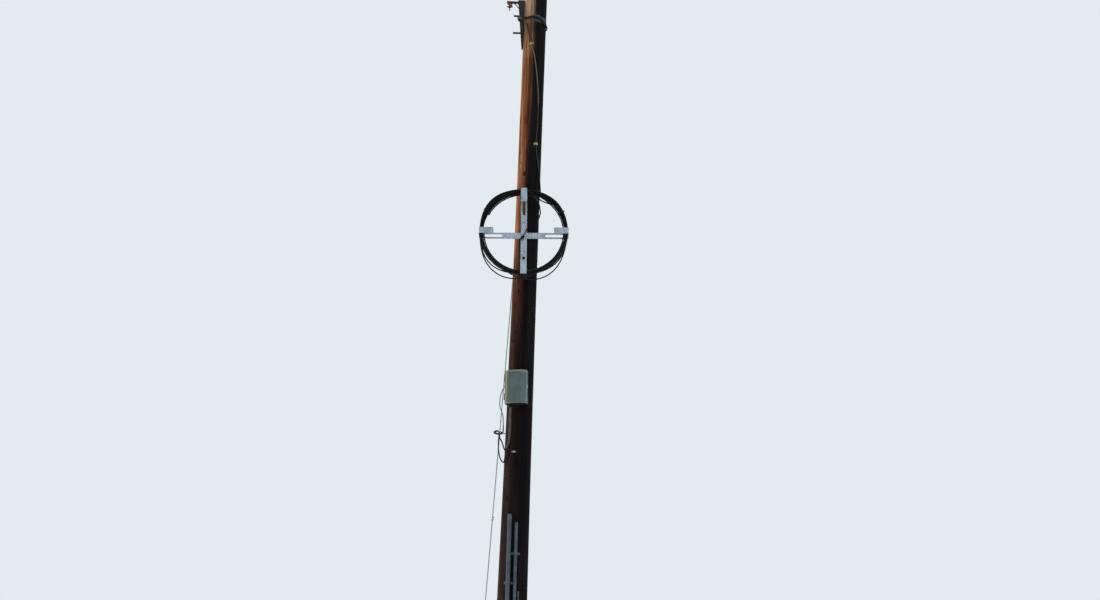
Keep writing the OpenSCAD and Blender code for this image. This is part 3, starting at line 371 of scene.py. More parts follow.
def mouldedPlastic(name, look):  # moulded sheath or housing: faint grain, faded patches and settled dust
    material, tree, shader, place = newMaterial(name, {"IOR": 1.5, "Specular IOR Level": look.get("gloss", 0.4)})
    fade = addNode(tree, "ShaderNodeTexNoise", inputs={
        "Vector": place, "Scale": 1000 / plasticPattern["fadeMm"], "Detail": 4.0})
    wide, down = 1000 / plasticPattern["runWidthMm"], 1000 / plasticPattern["runLengthMm"]
    runs = addNode(tree, "ShaderNodeMapping", inputs={"Vector": place, "Scale": (wide, wide, down)})
    run = addNode(tree, "ShaderNodeTexNoise", inputs={"Vector": runs.outputs[0], "Scale": 1.0, "Detail": 5.0})
    height = addNode(tree, "ShaderNodeSeparateXYZ", inputs={0: place}).outputs["Z"]
    normal = addNode(tree, "ShaderNodeNewGeometry").outputs["Normal"]

    # layers: the colour over, what its mask follows, from and to, its shares there, the ramp's shape and a gate
    layers = [("worn", fade.outputs["Fac"], 0.35, 0.7, 0.0, 1.0, even, 1.0),
              ("dust", run.outputs["Fac"], 0.5, 0.78, 0.0, look["dusty"], even, 1.0)]
    if "paintedLight" in look:  # painted light and shade: the bevel towards the key light is lit pale, the side beyond it darkened, and the far rim and the top and bottom edges get painted highlights
        turned = math.radians(look["turned"])
        across = addNode(tree, "ShaderNodeVectorMath", {"operation": "DOT_PRODUCT"}, {
            0: place, 1: (math.cos(turned), math.sin(turned), 0)}).outputs["Value"]
        faced = addNode(tree, "ShaderNodeVectorTransform", {"vector_type": "NORMAL", "convert_to": "OBJECT"}, {
            0: normal})
        outward = addNode(tree, "ShaderNodeVectorMath", {"operation": "DOT_PRODUCT"}, {
            0: faced.outputs[0], 1: (math.sin(turned), -math.cos(turned), 0)}).outputs["Value"]
        outside = addNode(tree, "ShaderNodeMapRange", inputs={
            "Value": outward, "From Min": -0.35, "From Max": -0.1}).outputs[0]  # not the inside of the cover
        layers += [(key, across if way == "across" else height, low, high, 0.0, most, eased, outside)
                   for key, way, low, high, most in coverBands]
    if "undersideShade" in look:  # painted shade on the undersides
        up = addNode(tree, "ShaderNodeSeparateXYZ", inputs={0: normal}).outputs["Z"]
        layers.append(("undersideShade", up, -0.45, -0.85, 0.0, 0.92, eased, 1.0))
    if "chalk" in look:  # a stretch of the sheath is made paler: chalked by the sun on one sheath, a painted highlight on the other
        middle, reach = (look["chalkFrom"] + look["chalkTo"]) / 2, (look["chalkTo"] - look["chalkFrom"]) / 2
        off = addNode(tree, "ShaderNodeMath", {"operation": "SUBTRACT"}, {0: height, 1: middle})
        away = addNode(tree, "ShaderNodeMath", {"operation": "ABSOLUTE"}, {0: off.outputs[0]}).outputs[0]
        layers.append(("chalk", away, reach - 0.04, reach + 0.05, 0.85, 0.0, eased, 1.0))
    colour = linearColour(look["base"])
    for key, along, low, high, start, end, shape, gate in layers:
        share = addNode(tree, "ShaderNodeMapRange", {"interpolation_type": shape}, {
            "Value": along, "From Min": low, "From Max": high, "To Min": start, "To Max": end})
        gated = addNode(tree, "ShaderNodeMath", {"operation": "MULTIPLY"}, {0: share.outputs[0], 1: gate})
        colour = addNode(tree, "ShaderNodeMix", {"data_type": "RGBA"}, {
            "Factor": gated.outputs[0], 6: colour, 7: linearColour(look[key])}).outputs[2]
    rough = addNode(tree, "ShaderNodeMapRange", inputs={
        "Value": run.outputs["Fac"], "To Min": look["roughness"] - 0.1, "To Max": look["roughness"] + 0.15})
    tree.links.new(rough.outputs[0], shader.inputs["Roughness"])
    grain = addNode(tree, "ShaderNodeTexNoise", inputs={
        "Vector": place, "Scale": 1000 / look["grainMm"], "Detail": 2.0})
    dressShader(tree, shader, colour, grain.outputs["Fac"], 0.2, 0.4)
    return material


glazePattern = {"poolMm": 26.0}  # where the glaze ran thicker before it set

glazeLook = {
    "brownGlaze": {"thin": "8A4630", "thick": "4A1D12"},  # chestnut, nearly black where it pooled
    "whiteGlaze": {"thin": "D2D2CA", "thick": "ABAAA0"},  # cool white with a grey cast
}


def firedGlaze(name, look):  # porcelain under a glossy glaze that pools darker in places
    material, tree, shader, place = newMaterial(name, {"Roughness": 0.16, "IOR": 1.52, "Coat Weight": 0.4,
                                                       "Coat Roughness": 0.08})
    pool = addNode(tree, "ShaderNodeTexNoise", inputs={
        "Vector": place, "Scale": 1000 / glazePattern["poolMm"], "Detail": 4.0})
    tone = addNode(tree, "ShaderNodeMix", {"data_type": "RGBA"}, {
        "Factor": pool.outputs["Fac"], 6: linearColour(look["thick"]), 7: linearColour(look["thin"])})
    dressShader(tree, shader, tone.outputs[2], pool.outputs["Fac"], 0.1, 0.5)
    return material


finishes = {"creosotedPine": creosotedPine(poleLook), "branchKnot": branchKnot(knotLook)}
for makeFinish, looks in ((coatedSteel, steelLook), (mouldedPlastic, plasticLook), (firedGlaze, glazeLook)):
    for finishName, look in looks.items():
        finishes[finishName] = makeFinish(finishName, look)

slotFinish = {
    "pole_timber": "creosotedPine", "galvanised_steel": "hotDipGalvanised", "dark_steel": "darkWeatheredSteel",
    "black_jacket": "blackPolyethylene", "brown_jacket": "tanPolyethylene", "pale_plastic": "palePolyamide",
    "box_plastic": "mouldedPolyester", "brown_porcelain": "brownGlaze", "white_porcelain": "whiteGlaze",
}
nodeFinish = {
    "guy_guard_plate": "dullGuardSteel", "box_body": "shadedPolyester",
    "conduit_large": "agedConduitZinc", "conduit_small": "agedConduitZinc", "conduit_thin": "agedConduitZinc",
    "conduit_saddles": "agedConduitZinc", "saddle_screws": "agedConduitZinc",
}
slotOf = {part["node"]: part["material_slot"] for part in frame["record"]["subparts"]}
for nodeName, node in cadNodes.items():
    finish = finishes[nodeFinish.get(nodeName) or slotFinish[slotOf[nodeName]]]
    for holder in node.material_slots:
        holder.material = finish
print("materials made:", len(finishes))


# Routes of the cables and strands, repeated from the part's source, in millimetres

def sinOf(angle):
    return math.sin(math.radians(angle))


def cosOf(angle):
    return math.cos(math.radians(angle))


def poleRadius(z):
    share = abs(1 - z / poleShape["height"])
    return poleShape["topRadius"] + (poleShape["buttRadius"] - poleShape["topRadius"]) * share ** poleShape["flare"]


def poleLean(z):  # angle of the pole's surface, in degrees
    share = abs(1 - z / poleShape["height"]) ** (poleShape["flare"] - 1)
    slope = (poleShape["buttRadius"] - poleShape["topRadius"]) * poleShape["flare"] / poleShape["height"]
    return math.degrees(math.atan(slope * share))


def byPole(azimuth, z, out):
    reach = poleRadius(z) + out
    return Vector((reach * sinOf(azimuth), -reach * cosOf(azimuth), z))


def turnedBy(point, angle, axis):
    return Matrix.Rotation(math.radians(angle), 3, axis) @ Vector(point)


def curvePoint(points, i, t):  # between point i and the next, on a smooth curve through all of them
    a, b = Vector(points[max(i - 1, 0)]), Vector(points[i])
    c, d = Vector(points[i + 1]), Vector(points[min(i + 2, len(points) - 1)])
    return 0.5 * (2 * b + (c - a) * t + (2 * a - 5 * b + 4 * c - d) * t * t + (3 * b - a - 3 * c + d) * t ** 3)


def smoothPath(points, steps):
    inner = [curvePoint(points, i, k / steps) for i in range(len(points) - 1) for k in range(steps)]
    return inner + [Vector(points[-1])]


def joinedPath(first, free, last, steps=4):
    return first[:-2] + smoothPath(first[-2:] + free + last[:2], steps) + last[2:]


def polePath(route, diameter, steps):  # points are azimuth, height and free distance off the surface
    return [byPole(p[0], p[1], p[2] + diameter / 2 + seatGap) for p in smoothPath(route, steps)]


seatGap = 0.3
crossPlace = {"height": 5291, "off": 21, "turn": -1.7}
coilShape = {"radius": 352.7, "depth": 92, "step": 10.6, "tailStep": 7.5, "tiesAt": (28, 150)}
cableSizes = {"cable": 10.0, "feed": 18.0, "centreTie": 8.0}
strandShape = {"wires": 6, "ringMm": 10 / 3, "wireMm": 10 / 3, "layMm": 130}  # one wire in the middle is hidden
gripShape = {"wires": 22, "ringMm": 12.0, "wireMm": 3.1, "layMm": 190, "lengthMm": 460}


def fromCross(point):  # from the cross bracket's own place
    p = turnedBy(point, crossPlace["turn"], "Y") - Vector((crossPlace["off"], 0, 0))
    leaned = turnedBy(p, -poleLean(crossPlace["height"]), "X")
    return Vector((0, -poleRadius(crossPlace["height"]) - seatGap, crossPlace["height"])) + leaned


def bulge(angle, height, at, half):
    away = abs((angle - at + 900) % 360 - 180)
    return 0 if away > half else height * (1 + cosOf(180 * away / half)) / 2


def onTurn(angle, steps, layer, out=0):
    reach = coilShape["radius"] - steps * coilShape["step"] + out
    return Vector((reach * cosOf(angle), -coilShape["depth"] - layer * coilShape["step"], reach * sinOf(angle)))


def coilTail(start, end):
    count = round(abs(end - start) / coilShape["tailStep"] - 0.499)
    way = coilShape["tailStep"] if end > start else -coilShape["tailStep"]
    return [fromCross(onTurn(start + way * k, 3, 0)) for k in range(count + 1)]


mainTurns = [(0, 0), (1, 0), (2, 0), (0, 1), (1, 1), (2, 1)]
looseTurns = [(2, [(26, -135, 41), (15, -45, 41), (5, 45, 41), (6, 135, 41)]),
              (3, [(60, -118, 60), (11, 45, 41), (12, 135, 41)]),
              (4, [(64, -68, 60), (-58, 60, 33), (18, 135, 41)])]
mainPaths = [[fromCross(onTurn(a, steps, layer)) for a in range(0, 360, 5)] for steps, layer in mainTurns]
loosePaths = [[fromCross(onTurn(a, 0, layer, sum(bulge(a, *b) for b in bulges))) for a in range(0, 360, 5)]
              for layer, bulges in looseTurns]
centreTiePath = [fromCross(p) for p in smoothPath(
    [(30, -10, 74), (26, -14, 58), (15, -19.5, 34), (0, -21.4, 6), (-18, -21, -16), (-31, -16, -44),
     (-33, -10, -90), (-32, -8, -150), (-32, -8, -210)], 3)]

frontRoute = [(a, 5656 + 1509 * f, g) for a, f, g in [
    (-46, 1, 0), (-32, 0.946, 0), (-21, 0.906, 0), (-13, 0.874, 0), (-5, 0.838, 0), (3, 0.808, 0),
    (11, 0.755, 0), (17, 0.715, 0), (25, 0.64, 0), (32, 0.54, 0), (32, 0.387, 0), (29, 0.288, 0),
    (40, 0.2, 0), (56, 0.12, 0), (72, 0.046, 1), (84, 0, 2)]]
frontPath = joinedPath(polePath(frontRoute, cableSizes["cable"], 4),
                       [fromCross(p) for p in [(152, 56, 340), (194, 0, 290), (218, -62, 246)]], coilTail(45, -184))

boxPlace = {"height": 4021, "azimuth": -11.5, "turn": -2, "seat": 121.625, "half": 133.5}


def inBox(point):  # from the box's own place, its back on the bracket
    p = turnedBy(point, boxPlace["turn"], "Y") + Vector((0, -3 - boxPlace["seat"], boxPlace["height"]))
    return turnedBy(p, boxPlace["azimuth"], "Z")


feedRoute = [(-31, 3806, 28), (-33.5, 3759, 13), (-36.5, 3706, 2), (-37, 3655, 0.5), (-39, 3611, 0.5),
             (-43.5, 3575, 0.6), (-50, 3547, 1)]
feedPath = joinedPath([inBox((-46, -25, -boxPlace["half"] - z)) for z in (4, 14, 23, 31)], [],
                      polePath(feedRoute, cableSizes["feed"], 3))
loopHeight = 3681
loopAt = Vector((-poleRadius(loopHeight) - 56, -14, loopHeight))
feedEnd = feedPath[-1]
feedWay = (feedPath[-1] - feedPath[-2]).normalized()
feedSide = feedWay.cross(Vector((feedEnd.x, feedEnd.y, 0))).normalized()


def outOfFeed(side):
    return [feedEnd + out * feedWay + side * 5.3 * feedSide for out in (seatGap, 12)]


def fromLoop(points):
    return [loopAt + Vector(p) for p in points]


def loopTurn(radius, start, end):
    return fromLoop([(radius * cosOf(a), radius * sinOf(a), -8 * radius / 35 * sinOf(a))
                     for a in range(start, end - 1, -15)])


slackPath = smoothPath(outOfFeed(1) + fromLoop([
    (64, -50.5, -145), (57, -44, -148), (51, -36, -136), (43, -29, -114), (33, -24.5, -83), (15, -23.5, -53),
    (9.5, -24, -28), (7, -24.4, -9)]) + loopTurn(24.4, -95, -395), 2)
sideStart = smoothPath(outOfFeed(-1) + fromLoop([
    (70, -58.5, -157), (64, -46, -180), (58, -38, -218), (50, -32, -247), (31, -34, -228), (18, -35, -197),
    (7, -36, -142), (4, -36, -78), (7, -35, -30), (6.5, -35.5, -8)]) + loopTurn(35, -100, -340) + fromLoop([
        (36.5, -2, 10), (37, -6, 28), (34, -4, 91), (27, -2, 147), (3, 0, 203), (0, 2, 252), (4, 4, 301),
        (19, 8, 350)]), 2)
sideHigh = [(-92, 4071, 16), (-98, 4111, 5), (-106, 4161, 1), (-111, 4231, 0.5), (-114, 4506, 0.5),
            (-126, 4856, 0.5), (-152, 5106, 0.7), (-188, 5316, 0.7), (-226, 5446, 0.7), (-252, 5496, 2),
            (-266, 5526, 5)]
sidePath = sideStart + joinedPath(polePath(sideHigh, cableSizes["cable"], 4), [
    fromCross(p) for p in [(128, 60, 268), (118, 0, 286), (94, -56, 304)]], coilTail(78, 160))

stayShape = {"height": 7190, "left": 445, "back": 4000, "pitch": 12, "tilt": 0.38, "from": -152, "to": 512,
             "out": 7.6, "legs": 5.25, "insulatorAt": 3755, "insulatorHalf": 22.3, "eyeAt": 648, "eyeRadius": 13.3}


def wrapPoint(angle):
    rise = bulge(angle, 26, 15, 75) - bulge(angle, 16, -60, 42)
    lift = max(0, angle - 440) / 72 * 14
    rail = 12 + 42 * (stayShape["height"] - 6965) / 430 + 12
    q = byPole(angle, stayShape["height"], stayShape["out"] + lift + bulge(angle, rail, -90, 62))
    return Vector((q.x, q.y, stayShape["height"] - stayShape["tilt"] * q.x + rise
                   + stayShape["pitch"] * ((angle - stayShape["from"]) / 360 - 1)))


stayFoot = Vector((-stayShape["left"], stayShape["back"], 0))
stayHead = byPole(180 + math.degrees(math.atan(stayShape["left"] / stayShape["back"])),
                  stayShape["height"], stayShape["out"])
stayWay = (stayHead - stayFoot).normalized()
staySide = stayWay.cross(Vector((0, 0, 1))).normalized()
gripTop, gripFoot = (stayHead - stayFoot).length - 260, 718  # the wound grips' ends, up the stay


def onStay(at, side=0.0):
    return stayFoot + at * stayWay + side * staySide


def bothLegs(shortEnd, bend, turn, longEnd):
    legs = stayShape["legs"]
    return [onStay(shortEnd, legs), onStay(bend, legs)] + turn + [onStay(bend, -legs), onStay(longEnd, -legs)]


upperStrand = bothLegs(gripTop - 400, gripTop + 8,
                       [wrapPoint(a) for a in range(stayShape["from"], stayShape["to"] + 1, 8)],
                       stayShape["insulatorAt"] + stayShape["insulatorHalf"])
lowerStrand = bothLegs(gripFoot + 400, gripFoot - 8,
                       [onStay(stayShape["eyeAt"] - stayShape["eyeRadius"] * sinOf(a),
                               stayShape["eyeRadius"] * cosOf(a)) for a in range(0, 181, 20)],
                       stayShape["insulatorAt"] - stayShape["insulatorHalf"])


# Cables, strands and grips, each swept along its route by a node tree

def startTree(name, inputs):  # a node tree with a mesh in, a mesh out, and named values
    tree = bpy.data.node_groups.new(name, "GeometryNodeTree")
    tree.interface.new_socket(name="Route", in_out="INPUT", socket_type="NodeSocketGeometry")
    for label, kind in inputs.items():
        tree.interface.new_socket(name=label, in_out="INPUT", socket_type=kind)
    tree.interface.new_socket(name="Piece", in_out="OUTPUT", socket_type="NodeSocketGeometry")
    return tree, addNode(tree, "NodeGroupInput")


def endTree(tree, geometry, finish):  # real geometry with its finish
    real = addNode(tree, "GeometryNodeRealizeInstances", inputs={"Geometry": geometry})
    dressed = addNode(tree, "GeometryNodeSetMaterial", inputs={"Geometry": real.outputs[0], "Material": finish})
    addNode(tree, "NodeGroupOutput", inputs={"Piece": dressed.outputs[0]})
    return tree


def cableTree(finish):  # a round sheath that wanders a little off its route
    tree, given = startTree("roundCable", {"Diameter": "NodeSocketFloat", "Step": "NodeSocketFloat",
                                           "Wander": "NodeSocketFloat", "Sides": "NodeSocketInt"})
    line = addNode(tree, "GeometryNodeMeshToCurve", inputs={"Mesh": given.outputs["Route"]})
    spaced = addNode(tree, "GeometryNodeResampleCurve", {"mode": "LENGTH"}, {
        "Curve": line.outputs[0], "Length": given.outputs["Step"]})
    drift = addNode(tree, "ShaderNodeTexNoise", inputs={
        "Vector": addNode(tree, "GeometryNodeInputPosition").outputs[0], "Scale": 7.0, "Detail": 1.0})
    centred = addNode(tree, "ShaderNodeVectorMath", {"operation": "SUBTRACT"}, {
        0: drift.outputs["Color"], 1: (0.5, 0.5, 0.5)})
    offset = addNode(tree, "ShaderNodeVectorMath", {"operation": "SCALE"}, {
        0: centred.outputs[0], "Scale": given.outputs["Wander"]})
    moved = addNode(tree, "GeometryNodeSetPosition", inputs={
        "Geometry": spaced.outputs[0], "Offset": offset.outputs[0]})
    radius = addNode(tree, "ShaderNodeMath", {"operation": "MULTIPLY"}, {0: given.outputs["Diameter"], 1: 0.5})
    outline = addNode(tree, "GeometryNodeCurvePrimitiveCircle", inputs={
        "Resolution": given.outputs["Sides"], "Radius": radius.outputs[0]})
    tube = addNode(tree, "GeometryNodeCurveToMesh", inputs={
        "Curve": moved.outputs[0], "Profile Curve": outline.outputs[0], "Fill Caps": True})
    return endTree(tree, tube.outputs[0], finish)


def woundTree(finish):  # wires laid side by side round a route, with a steady twist
    tree, given = startTree("woundWires", {"Wires": "NodeSocketInt", "Ring": "NodeSocketFloat",
                                           "Wire": "NodeSocketFloat", "Lay": "NodeSocketFloat",
                                           "Step": "NodeSocketFloat"})
    line = addNode(tree, "GeometryNodeMeshToCurve", inputs={"Mesh": given.outputs["Route"]})
    spaced = addNode(tree, "GeometryNodeResampleCurve", {"mode": "LENGTH"}, {
        "Curve": line.outputs[0], "Length": given.outputs["Step"]})
    run = addNode(tree, "GeometryNodeSplineParameter").outputs["Length"]
    turns = addNode(tree, "ShaderNodeMath", {"operation": "DIVIDE"}, {0: run, 1: given.outputs["Lay"]})
    tilt = addNode(tree, "ShaderNodeMath", {"operation": "MULTIPLY"}, {0: turns.outputs[0], 1: 2 * math.pi})
    twisted = addNode(tree, "GeometryNodeSetCurveTilt", inputs={
        "Curve": spaced.outputs[0], "Tilt": tilt.outputs[0]})
    places = addNode(tree, "GeometryNodeMeshCircle", inputs={
        "Vertices": given.outputs["Wires"], "Radius": given.outputs["Ring"]})
    halfWire = addNode(tree, "ShaderNodeMath", {"operation": "MULTIPLY"}, {0: given.outputs["Wire"], 1: 0.5})
    wire = addNode(tree, "GeometryNodeCurvePrimitiveCircle", inputs={"Resolution": 7, "Radius": halfWire.outputs[0]})
    ring = addNode(tree, "GeometryNodeInstanceOnPoints", inputs={
        "Points": places.outputs[0], "Instance": wire.outputs[0]})
    outline = addNode(tree, "GeometryNodeRealizeInstances", inputs={"Geometry": ring.outputs[0]})
    wires = addNode(tree, "GeometryNodeCurveToMesh", inputs={
        "Curve": twisted.outputs[0], "Profile Curve": outline.outputs[0], "Fill Caps": True})
    return endTree(tree, wires.outputs[0], finish)


def makeCable(node, paths, diameterMm=cableSizes["cable"], finish="blackPolyethylene", slotName="black_jacket",
              closed=False, wanderMm=0.0, stepMm=9.0):
    values = {"Diameter": diameterMm / 1000, "Step": stepMm / 1000, "Wander": wanderMm / 1000, "Sides": 14}
    route = pathMesh(node + "Route", [[p / 1000 for p in points] for points in paths], closed)
    swept = runTree(cableTree(finishes[finish]), route, values)
    return placePiece("dressed_" + node, swept, "root", (node,))


def makeWound(node, points, shape, stepMm=8.0):
    values = {"Wires": shape["wires"], "Ring": shape["ringMm"] / 1000, "Wire": shape["wireMm"] / 1000,
              "Lay": shape["layMm"] / 1000, "Step": stepMm / 1000}
    route = pathMesh(node + "Route", [[p / 1000 for p in points]])
    swept = runTree(woundTree(finishes["weatheredStrand"]), route, values)
    return placePiece("dressed_" + node, swept, "root", (node,))


cables = {
    "coil_turns_main": {"paths": mainPaths, "closed": True, "wanderMm": 2.4},
    "coil_turns_sagging": {"paths": loosePaths, "closed": True},
    "front_cable": {"paths": [frontPath], "finish": "driedPolyethylene"},
    "side_cable": {"paths": [sidePath], "finish": "chalkedPolyethylene"},
    "slack_loops": {"paths": [slackPath], "stepMm": 5.0},
    "feed_cable": {"paths": [feedPath], "diameterMm": cableSizes["feed"], "finish": "tanPolyethylene",
                   "slotName": "brown_jacket"},
    "centre_tie": {"paths": [centreTiePath], "diameterMm": cableSizes["centreTie"]},
}
for cableName, cable in cables.items():
    makeCable(cableName, **cable)
makeWound("guy_strand_upper", upperStrand, strandShape)
makeWound("guy_strand_lower", lowerStrand, strandShape, 5.0)
makeWound("guy_grip_upper", [onStay(gripTop - gripShape["lengthMm"]), onStay(gripTop)], gripShape)
makeWound("guy_grip_lower", [onStay(gripFoot), onStay(gripFoot + gripShape["lengthMm"])], gripShape)
print("cables, strands and grips swept")


# Small pieces that the solids leave plain

tieKnotShape = {"place": (-8, -25, -16), "sizeMm": 4.2, "depthMm": 4.0, "cordMm": 7.0, "stepMm": 2.2, "sides": 12}


def tieKnot(shape):  # overhand knot where the tie crosses the bracket
    turns = []
    for k in range(60):
        t = 2 * math.pi * k / 60
        turns.append(fromCross((shape["place"][0] + shape["sizeMm"] * (math.sin(t) + 2 * math.sin(2 * t)),
                                shape["place"][1] - shape["depthMm"] * math.sin(3 * t),
                                shape["place"][2] + shape["sizeMm"] * (math.cos(t) - 2 * math.cos(2 * t)))))
    values = {"Diameter": shape["cordMm"] / 1000, "Step": shape["stepMm"] / 1000, "Wander": 0.0,
              "Sides": shape["sides"]}
    route = pathMesh("tieKnotRoute", [[p / 1000 for p in turns]], True)
    knot = runTree(cableTree(finishes["blackPolyethylene"]), route, values)
    placePiece("tie_knot", knot, "root", ())


def closedMesh(name, verts, faces, finish):  # a mesh in metres with its faces turned outwards
    mesh = bpy.data.meshes.new(name)
    mesh.from_pydata([tuple(v) for v in verts], [], faces)
    shell = bmesh.new()
    shell.from_mesh(mesh)
    bmesh.ops.remove_doubles(shell, verts=shell.verts, dist=0.00001)
    bmesh.ops.recalc_face_normals(shell, faces=shell.faces)
    shell.to_mesh(mesh)
    shell.free()
    mesh.materials.append(finish)
    return mesh


tieHeadShape = {"lengthMm": 11, "widthMm": 11, "depthMm": 6, "bevel": 0.12, "reachMm": 352, "frontMm": -141.4,
                "tailMm": 13, "tailWidthMm": 7, "tailHalfMm": 0.6, "tailInMm": 2.5, "tailLiftMm": 3}


def tieHeads(shape):  # ratchet head and cut tail of each band round the coil
    shell = bmesh.new()
    for angle in coilShape["tiesAt"]:
        def placed(x, y, z):
            return fromCross(turnedBy((x, y, z), -angle, "Y")) / 1000

        head = bmesh.new()
        bmesh.ops.create_cube(head, size=1.0)
        bmesh.ops.bevel(head, geom=head.edges[:], offset=shape["bevel"], segments=2, affect="EDGES", profile=0.6)
        moved = {v: shell.verts.new(placed(shape["reachMm"] + v.co.x * shape["lengthMm"],
                                           shape["frontMm"] - shape["depthMm"] * (0.5 - v.co.y),
                                           v.co.z * shape["widthMm"])) for v in head.verts}
        for face in head.faces:
            shell.faces.new([moved[v] for v in face.verts])
        head.free()
        rows = []
        for k in range(5):  # the tail leaves the head and lifts off the bundle
            share = k / 4
            x = shape["reachMm"] + shape["lengthMm"] / 2 + shape["tailMm"] * share
            y = shape["frontMm"] - shape["tailInMm"] - shape["tailLiftMm"] * share ** 2
            wide, thick = shape["tailWidthMm"] / 2, shape["tailHalfMm"]
            rows.append([shell.verts.new(placed(x, y + dy, z)) for dy, z in (
                (-thick, -wide), (-thick, wide), (thick, wide), (thick, -wide))])
        for a, b in zip(rows, rows[1:]):
            for k in range(4):
                shell.faces.new((a[k], a[(k + 1) % 4], b[(k + 1) % 4], b[k]))
        shell.faces.new(rows[0])
        shell.faces.new(rows[-1][::-1])
    bmesh.ops.recalc_face_normals(shell, faces=shell.faces)
    mesh = bpy.data.meshes.new("coil_tie_heads")
    shell.to_mesh(mesh)
    shell.free()
    mesh.materials.append(finishes["blackPolyethylene"])
    placePiece("coil_tie_heads", mesh, "root", (), smooth=False)


def domeFaces(start, rings, spokes):  # rings of vertices from the rim inwards, then one in the middle
    faces = []
    for a in range(start, start + (rings - 1) * spokes, spokes):
        faces += [(a + k, a + (k + 1) % spokes, a + spokes + (k + 1) % spokes, a + spokes + k)
                  for k in range(spokes)]
    last = start + (rings - 1) * spokes
    return faces + [(last + k, last + (k + 1) % spokes, last + spokes) for k in range(spokes)]


knotShape = {"spokes": 18, "rings": (1.0, 0.86, 0.66, 0.44, 0.22), "domeMm": 2.6, "sunkMm": 0.8, "dishMm": 1.1,
             "heartMm": 0.6, "rootMm": -3}

knotPlaces = [  # azimuth, height, width and height of each branch knot
    (8, 6118, 34, 52), (-24, 5830, 30, 46), (35, 6330, 26, 36), (-30, 5060, 30, 44), (22, 4690, 34, 46),
    (-48, 4420, 28, 38), (58, 4900, 30, 40), (-8, 3420, 34, 44), (-42, 3150, 30, 46), (40, 3500, 28, 40),
    (-24, 2240, 38, 50), (34, 1820, 36, 46), (-6, 1240, 40, 54), (18, 690, 40, 52), (118, 6420, 32, 44),
    (150, 5620, 30, 42), (200, 6030, 34, 46), (240, 5310, 30, 42), (172, 4460, 34, 46), (220, 3720, 34, 48),
    (138, 3240, 36, 48), (188, 2520, 38, 50), (256, 2050, 34, 46), (146, 1530, 40, 54), (210, 860, 42, 54),
]


def branchKnots(places, shape):  # low domes with a dished heart, lying on the wood
    verts, local, faces = [], [], []
    spokes, rings = shape["spokes"], shape["rings"]
    for azimuth, height, width, tall in places:
        start = len(verts)
        for share in rings:
            out = shape["domeMm"] * (1 - share ** 2) ** 0.7 - shape["sunkMm"] if share < 1 else -shape["sunkMm"]
            out -= shape["dishMm"] * max(0, 1 - share / 0.5)
            for k in range(spokes):
                t = 2 * math.pi * k / spokes
                x = share * width / 2 * math.cos(t) * (1 + 0.07 * math.sin(3 * t + azimuth))
                z = share * tall / 2 * math.sin(t) * (1 + 0.06 * math.cos(2 * t + height))
                verts.append(byPole(azimuth + math.degrees(x / poleRadius(height)), height + z, out) / 1000)
                local.append((x / 1000, z * width / tall / 1000, 0.0))
        faces += domeFaces(start, len(rings), spokes)
        back = len(verts) + 1
        faces += [(start + (k + 1) % spokes, start + k, back) for k in range(spokes)]
        verts += [byPole(azimuth, height, shape[key]) / 1000 for key in ("heartMm", "rootMm")]
        local += [(0.0, 0.0, 0.0)] * 2
    mesh = bpy.data.meshes.new("pole_knots")
    mesh.from_pydata([tuple(v) for v in verts], [], faces)
    place = mesh.attributes.new("knotPlace", "FLOAT_VECTOR", "POINT")
    for k, p in enumerate(local):
        place.data[k].vector = p
    mesh.materials.append(finishes["branchKnot"])
    placePiece("pole_knots", mesh, "root", ())


conduitMouths = [(-19.3, -2.6, 34, 3020), (5.1, 15.7, 27, 2955), (20.5, 28, 15, 2425)]  # as in the part's source
puttyShape = {"spokes": 20, "wallMm": 2.6, "rings": ((1.0, 7.9), (1.0, 5.4), (0.78, 3.6), (0.45, 2.6)),
              "middleMm": 2.2, "lumpMm": 0.7}  # a ring is its share of the bore and its depth below the mouth


def conduitPlugs(mouths, shape):  # lumpy sealing putty pressed into the open tops
    verts, faces, spokes = [], [], shape["spokes"]
    for azimuth, footAzimuth, diameter, height in mouths:
        head = byPole(azimuth, height, diameter / 2 + seatGap)
        way = (byPole(footAzimuth, 0, diameter / 2 + seatGap) - head).normalized()
        side = way.cross(Vector((0, 1, 0))).normalized()
        other = way.cross(side)
        bore = diameter / 2 - shape["wallMm"]
        start = len(verts)
        for share, depth in shape["rings"]:
            for k in range(spokes):
                t = 2 * math.pi * k / spokes
                lump = depth + (shape["lumpMm"] * math.sin(3 * t + height) if share < 1 else 0)
                verts.append((head + way * lump + share * bore * (side * math.cos(t) + other * math.sin(t))) / 1000)
        verts.append((head + way * shape["middleMm"]) / 1000)
        faces += domeFaces(start, len(shape["rings"]), spokes)
        faces.append(tuple(start + k for k in range(spokes)))
    mesh = closedMesh("conduit_putty", verts, faces, finishes["sealingPutty"])
    placePiece("conduit_putty", mesh, "root", ())


gasketShape = {"half": (89, 133.5), "insetsMm": (2.5, 9.0), "depthsMm": (-50.15, -50.85)}


def boxGasket(shape):  # rubber seal pressed between the box and its cover
    verts, faces = [], []
    wide, tall = shape["half"]
    for y in shape["depthsMm"]:
        for inset in shape["insetsMm"]:
            verts += [inBox((x * (wide - inset), y, z * (tall - inset))) / 1000
                      for x, z in ((-1, -1), (1, -1), (1, 1), (-1, 1))]
    for k in range(4):
        n = (k + 1) % 4
        faces += [(k, n, 4 + n, 4 + k), (8 + k, 12 + k, 12 + n, 8 + n), (k, 8 + k, 8 + n, n),
                  (4 + k, 4 + n, 12 + n, 12 + k)]
    mesh = closedMesh("box_gasket", verts, faces, finishes["softRubber"])
    placePiece("box_gasket", mesh, "root", (), smooth=False)


tieKnot(tieKnotShape)
tieHeads(tieHeadShape)
branchKnots(knotPlaces, knotShape)
conduitPlugs(conduitMouths, puttyShape)
boxGasket(gasketShape)
print("small pieces made")


# Floor, light and camera

